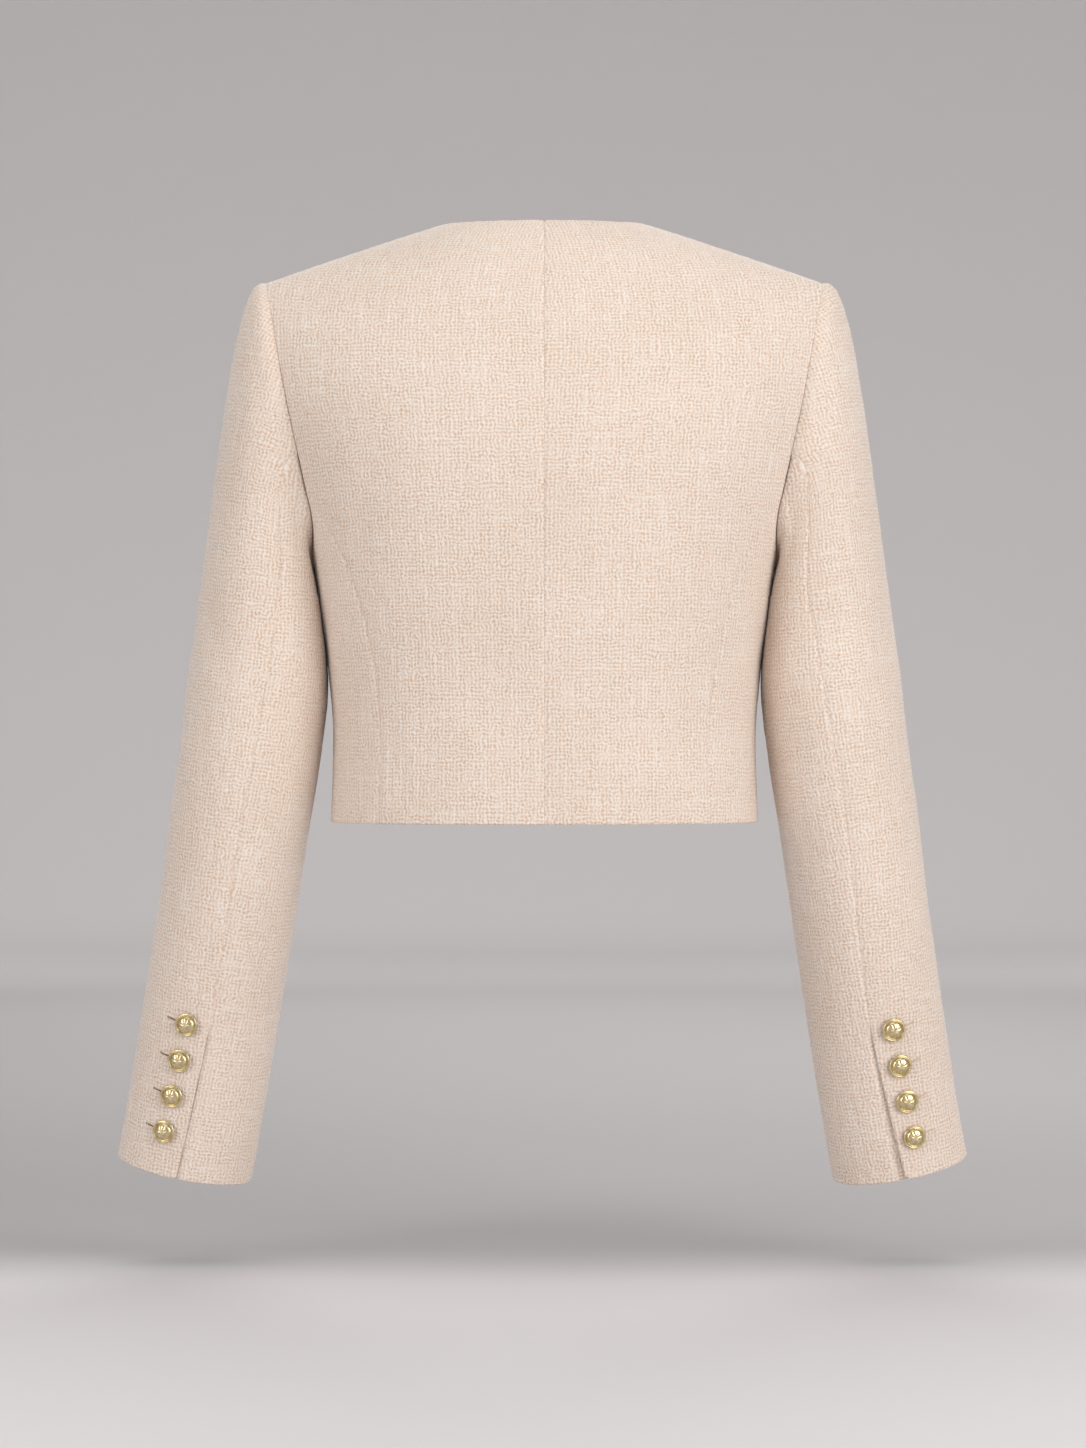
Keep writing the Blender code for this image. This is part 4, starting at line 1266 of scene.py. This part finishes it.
def face_of_sleeve(angle, height):
    """Points on the face of the sleeve tube, and the outward direction at each."""
    place = sleeve_point(angle, height)
    round_it = sleeve_point(angle + 0.5, height) - sleeve_point(angle - 0.5, height)
    along_it = sleeve_point(angle, height + 0.002) - sleeve_point(angle, height - 0.002)
    normal = unit(np.cross(round_it, along_it))
    inward = ((place - sleeve_centre(height)) * normal).sum(axis=-1, keepdims=True) < 0.0
    return place, np.where(inward, -normal, normal)


def seat(turned, angle, height, side, name):
    """Put a finished button on the vent flap."""
    place, normal = face_of_sleeve(np.array(angle), np.array(height))
    place = Vector(on_side(place, side, True))
    normal = Vector(normal * np.array((side, 1.0, 1.0)))
    turn = normal.to_track_quat("Z", "Y").to_matrix().to_4x4()
    bmesh.ops.transform(turned, matrix=Matrix.Translation(place) @ turn, verts=turned.verts)
    return make_object(turned, name, gold_finish)


def button_spot(height, side):
    """Angle and height of a button on its sleeve."""
    raised = height + BUTTON_RISE[side]
    return float(curve(SEAM_ANGLES, BACK_SEAM[side], raised)) - BUTTON_FROM_VENT, raised


for side, side_name in SIDE_NAMES.items():
    for number, height in enumerate(BUTTON_HEIGHTS, start=1):
        button = seat(turn_button(), *button_spot(height, side), side,
                      f"button_{side_name}_{number}")
        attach(button, "root")
        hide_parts(f"cuff_button_{side_name}_{number}")
print("buttons:", 2 * len(BUTTON_HEIGHTS))

# %% [markdown]
# ## The buttonholes
#
# Each button passes a worked buttonhole: a slit from under the button toward the outside of the
# sleeve, bound all round with close stitches that make a corded rim. One strip, wrapped round
# that rim and rippled once for each stitch, makes it. The four of a cuff are joined in a mesh.

# %% Buttonholes
HOLE_STARTS = 4.0               # degrees round the sleeve from the button's middle
HOLE_ENDS = 19.5                # degrees
HOLE_RISE = 0.0017
HOLE_HALF_GAP = 0.00026
EYELET = 0.00045
CORD_RADIUS = 0.00024
STITCHES = 44
STEPS_A_STITCH = 4
CORD_SIDES = 8
STITCH_SWELL = 0.22


def stitched_rim(angle, height):
    """Points of a corded rim on the sleeve: a row for each step along it, a column round it."""
    turn = np.linspace(0.0, math.tau, STITCHES * STEPS_A_STITCH + 1)[:, None]
    share = 0.5 - 0.5 * np.cos(turn)
    eyelet = EYELET * smooth_step(0.82, 0.93, share)
    rim_angle = angle - mix(HOLE_STARTS, HOLE_ENDS, share)
    edge_side = np.sign(np.sin(turn)) * np.abs(np.sin(turn)) ** 0.35
    rim_height = height + HOLE_RISE * share + edge_side * (HOLE_HALF_GAP + eyelet)
    place, normal = face_of_sleeve(rim_angle, rim_height)
    along = unit(np.gradient(place, axis=0))
    sideways = np.cross(normal, along)
    ripple = 1.0 + STITCH_SWELL * np.abs(np.sin(turn * STITCHES / 2.0))
    round_it = np.linspace(0.0, math.tau, CORD_SIDES + 1)
    over = (CORD_RADIUS * ripple * np.cos(round_it))[..., None]
    up = (CORD_RADIUS * ripple * np.sin(round_it) + CORD_RADIUS * 0.5)[..., None]
    return place + sideways * over + normal * up


def make_thread(name, dark, light):
    """The waxed thread of the buttonholes."""
    thread = Finish(name)
    place = thread.node("ShaderNodeTexCoord", {}, output=3)
    fuzz = thread.noise(place, 2400.0, 2.0)
    bump = thread.node("ShaderNodeBump", {}, Height=fuzz, Distance=0.00006, Strength=1.0)
    thread.set(Base_Color=thread.blend(fuzz.between(0.35, 0.65), dark, light), Roughness=0.8,
               Normal=bump, Sheen_Weight=0.1)
    return thread.material


def work_buttonholes(side, name, material):
    """The buttonholes of one cuff as one mesh."""
    worked = bmesh.new()
    for button_height in BUTTON_HEIGHTS:
        strip = bmesh.ops.create_grid(worked, x_segments=CORD_SIDES,
                                      y_segments=STITCHES * STEPS_A_STITCH, size=0.5)
        rim = on_side(stitched_rim(*button_spot(button_height, side)), side, True)
        for vert in strip["verts"]:
            column = round((vert.co.x + 0.5) * CORD_SIDES)
            row = round((vert.co.y + 0.5) * STITCHES * STEPS_A_STITCH)
            vert.co = rim[row, column]
    bmesh.ops.remove_doubles(worked, verts=worked.verts, dist=1e-6)
    bmesh.ops.recalc_face_normals(worked, faces=worked.faces)
    item = make_object(worked, name, material)
    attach(item, "root")


# Both cuffs have one thread. The left cuff's is painted dark brown, as painted shade for its
# shaded side and dark slits. The right cuff's is painted pale, as painted light.
LIT_AND_SHADED_THREADS = {
    1: make_thread("thread_left_painted_shade", colour(112, 80, 58), colour(150, 114, 86)),
    -1: make_thread("thread_right_painted_light", colour(196, 166, 138), colour(222, 198, 172)),
}
for side, side_name in SIDE_NAMES.items():
    work_buttonholes(side, f"buttonholes_{side_name}", LIT_AND_SHADED_THREADS[side])
print("buttonholes:", 2 * len(BUTTON_HEIGHTS), "with", STITCHES, "stitches each")

# %% [markdown]
# ## The room
#
# A plain round studio: a pale floor that curves up into a grey wall all round, so the jacket can
# be seen from any side. A profile spun once round makes it. The paint is darker on the floor
# beyond the jacket, so that the light on it looks even.

# %% Studio
FLOOR_HEIGHT = -0.710
STUDIO_RADIUS = 3.8
COVE_RADIUS = 1.8
WALL_TOP = 4.5


def make_studio(material):
    """Floor, cove and wall in one turned surface."""
    studio = bmesh.new()
    cove = [(STUDIO_RADIUS + COVE_RADIUS * math.sin(turn), COVE_RADIUS * (1.0 - math.cos(turn)))
            for turn in (math.radians(7.5 * step) for step in range(13))]
    profile = [(0.0, 0.0), (1.2, 0.0), (2.6, 0.0), *cove, (cove[-1][0], WALL_TOP)]
    verts = [studio.verts.new((radius, 0.0, FLOOR_HEIGHT + rise)) for radius, rise in profile]
    edges = [studio.edges.new(pair) for pair in zip(verts, verts[1:])]
    bmesh.ops.spin(studio, geom=verts + edges, cent=(0.0, 0.0, 0.0), axis=(0.0, 0.0, 1.0),
                   angle=math.tau, steps=96, use_merge=True)
    bmesh.ops.remove_doubles(studio, verts=studio.verts, dist=1e-5)
    return make_object(studio, "studio", material)


def make_paint():
    """The paint of the studio, in shades that even out the lamps."""
    paint = Finish("studio_paint")
    place = paint.node("ShaderNodeTexCoord", {}, output=3)
    toward_left, toward_back, _ = paint.three_parts(place)
    level = paint.node("ShaderNodeVectorMath", {"operation": "MULTIPLY"}, place, (1.0, 1.0, 0.0))
    away = paint.node("ShaderNodeVectorMath", {"operation": "LENGTH"}, level, output=1)
    far = paint.blend(toward_left.between(-0.7, 0.7), colour(178, 175, 176), colour(168, 165, 166))
    near = paint.blend(toward_back.between(0.1, 0.8), colour(206, 202, 204), colour(219, 216, 217))
    floor_tone = paint.blend(toward_back.between(-0.14, 0.10), far, near)
    distant = paint.blend(away.between(3.0, 4.3), colour(155, 152, 152), colour(212, 209, 209))
    tone = paint.blend(away.between(1.2, 3.0), floor_tone, distant)
    paint.set(Base_Color=tone, Roughness=0.95, Specular_IOR_Level=0.1)
    return paint.material


item = make_studio(make_paint())
print("studio:", 2 * STUDIO_RADIUS, "m across its floor")

# %% [markdown]
# ## The light
#
# Large lamps give soft shadows. The key lights the back of the jacket from the wearer's right,
# a narrower fill answers it from the left, and one overhead lifts the shoulders. A lamp on the
# far side lights the fronts and the cloth's edges, a wide flat one evens out the foot of the
# wall, and the room itself adds a soft warm light from everywhere.

# %% Lamps
CENTRE = (0.0, 0.0, -0.32)
Lamp = namedtuple("Lamp", "name place aim width height power")
LAMPS = [Lamp(*row) for row in (
    ("key", (-2.35, 2.47, 0.42), CENTRE, 2.2, 2.2, 71.5),
    ("fill", (2.5, 2.4, 0.25), CENTRE, 1.4, 1.9, 35.0),
    ("overhead", (0.2, 0.7, 2.6), CENTRE, 2.6, 2.6, 27.0),
    ("far_side", (-0.2, -3.0, 1.2), (-0.2, 0.0, -0.32), 2.8, 2.0, 54.0),
    ("backdrop", (0.0, -3.2, 0.85), (0.0, -4.15, -0.71), 2.6, 0.5, 11.0),
)]
ROOM_LIGHT = (1.0, 0.985, 0.96, 1.0)
ROOM_STRENGTH = 0.50


def hang_lamp(lamp):
    """Hang one soft lamp and turn it to its aim."""
    light = bpy.data.lights.new(lamp.name, "AREA")
    light.shape = "RECTANGLE"
    light.size, light.size_y = lamp.width, lamp.height
    light.energy = lamp.power
    item = bpy.data.objects.new(lamp.name, light)
    item.location = lamp.place
    facing = Vector(lamp.aim) - Vector(lamp.place)
    item.rotation_euler = facing.to_track_quat("-Z", "Y").to_euler()
    bpy.context.collection.objects.link(item)


for lamp in LAMPS:
    hang_lamp(lamp)
world = bpy.data.worlds.new("room")
world.use_nodes = True
background = world.node_tree.nodes["Background"]
background.inputs["Color"].default_value = ROOM_LIGHT
background.inputs["Strength"].default_value = ROOM_STRENGTH
bpy.context.scene.world = world
print("lamps:", [lamp.name for lamp in LAMPS])

# %% [markdown]
# ## The camera
#
# A long lens, level with the middle of the jacket and 3 m behind it, so that nothing looks
# stretched. VIEW_HEIGHT is how much shows from top to bottom at the jacket's distance.

# %% Camera
CAMERA_DISTANCE = 3.0
CAMERA_HEIGHT = -0.337
CAMERA_OFFSET = 0.001
VIEW_HEIGHT = 0.9919
SENSOR = 36.0
camera_data = bpy.data.cameras.new("camera")
camera_data.sensor_width = SENSOR
camera_data.lens = SENSOR * CAMERA_DISTANCE / VIEW_HEIGHT
camera_data.dof.use_dof = False
camera = bpy.data.objects.new("camera", camera_data)
camera.location = (CAMERA_OFFSET, CAMERA_DISTANCE, CAMERA_HEIGHT)
camera.rotation_euler = (math.pi / 2, 0.0, math.pi)
bpy.context.collection.objects.link(camera)
bpy.context.scene.camera = camera
view = bpy.context.scene.view_settings
view.view_transform = "Standard"
view.look = "None"
view.exposure = 0.0
view.gamma = 1.0
print(f"lens: {camera_data.lens:.1f} mm")
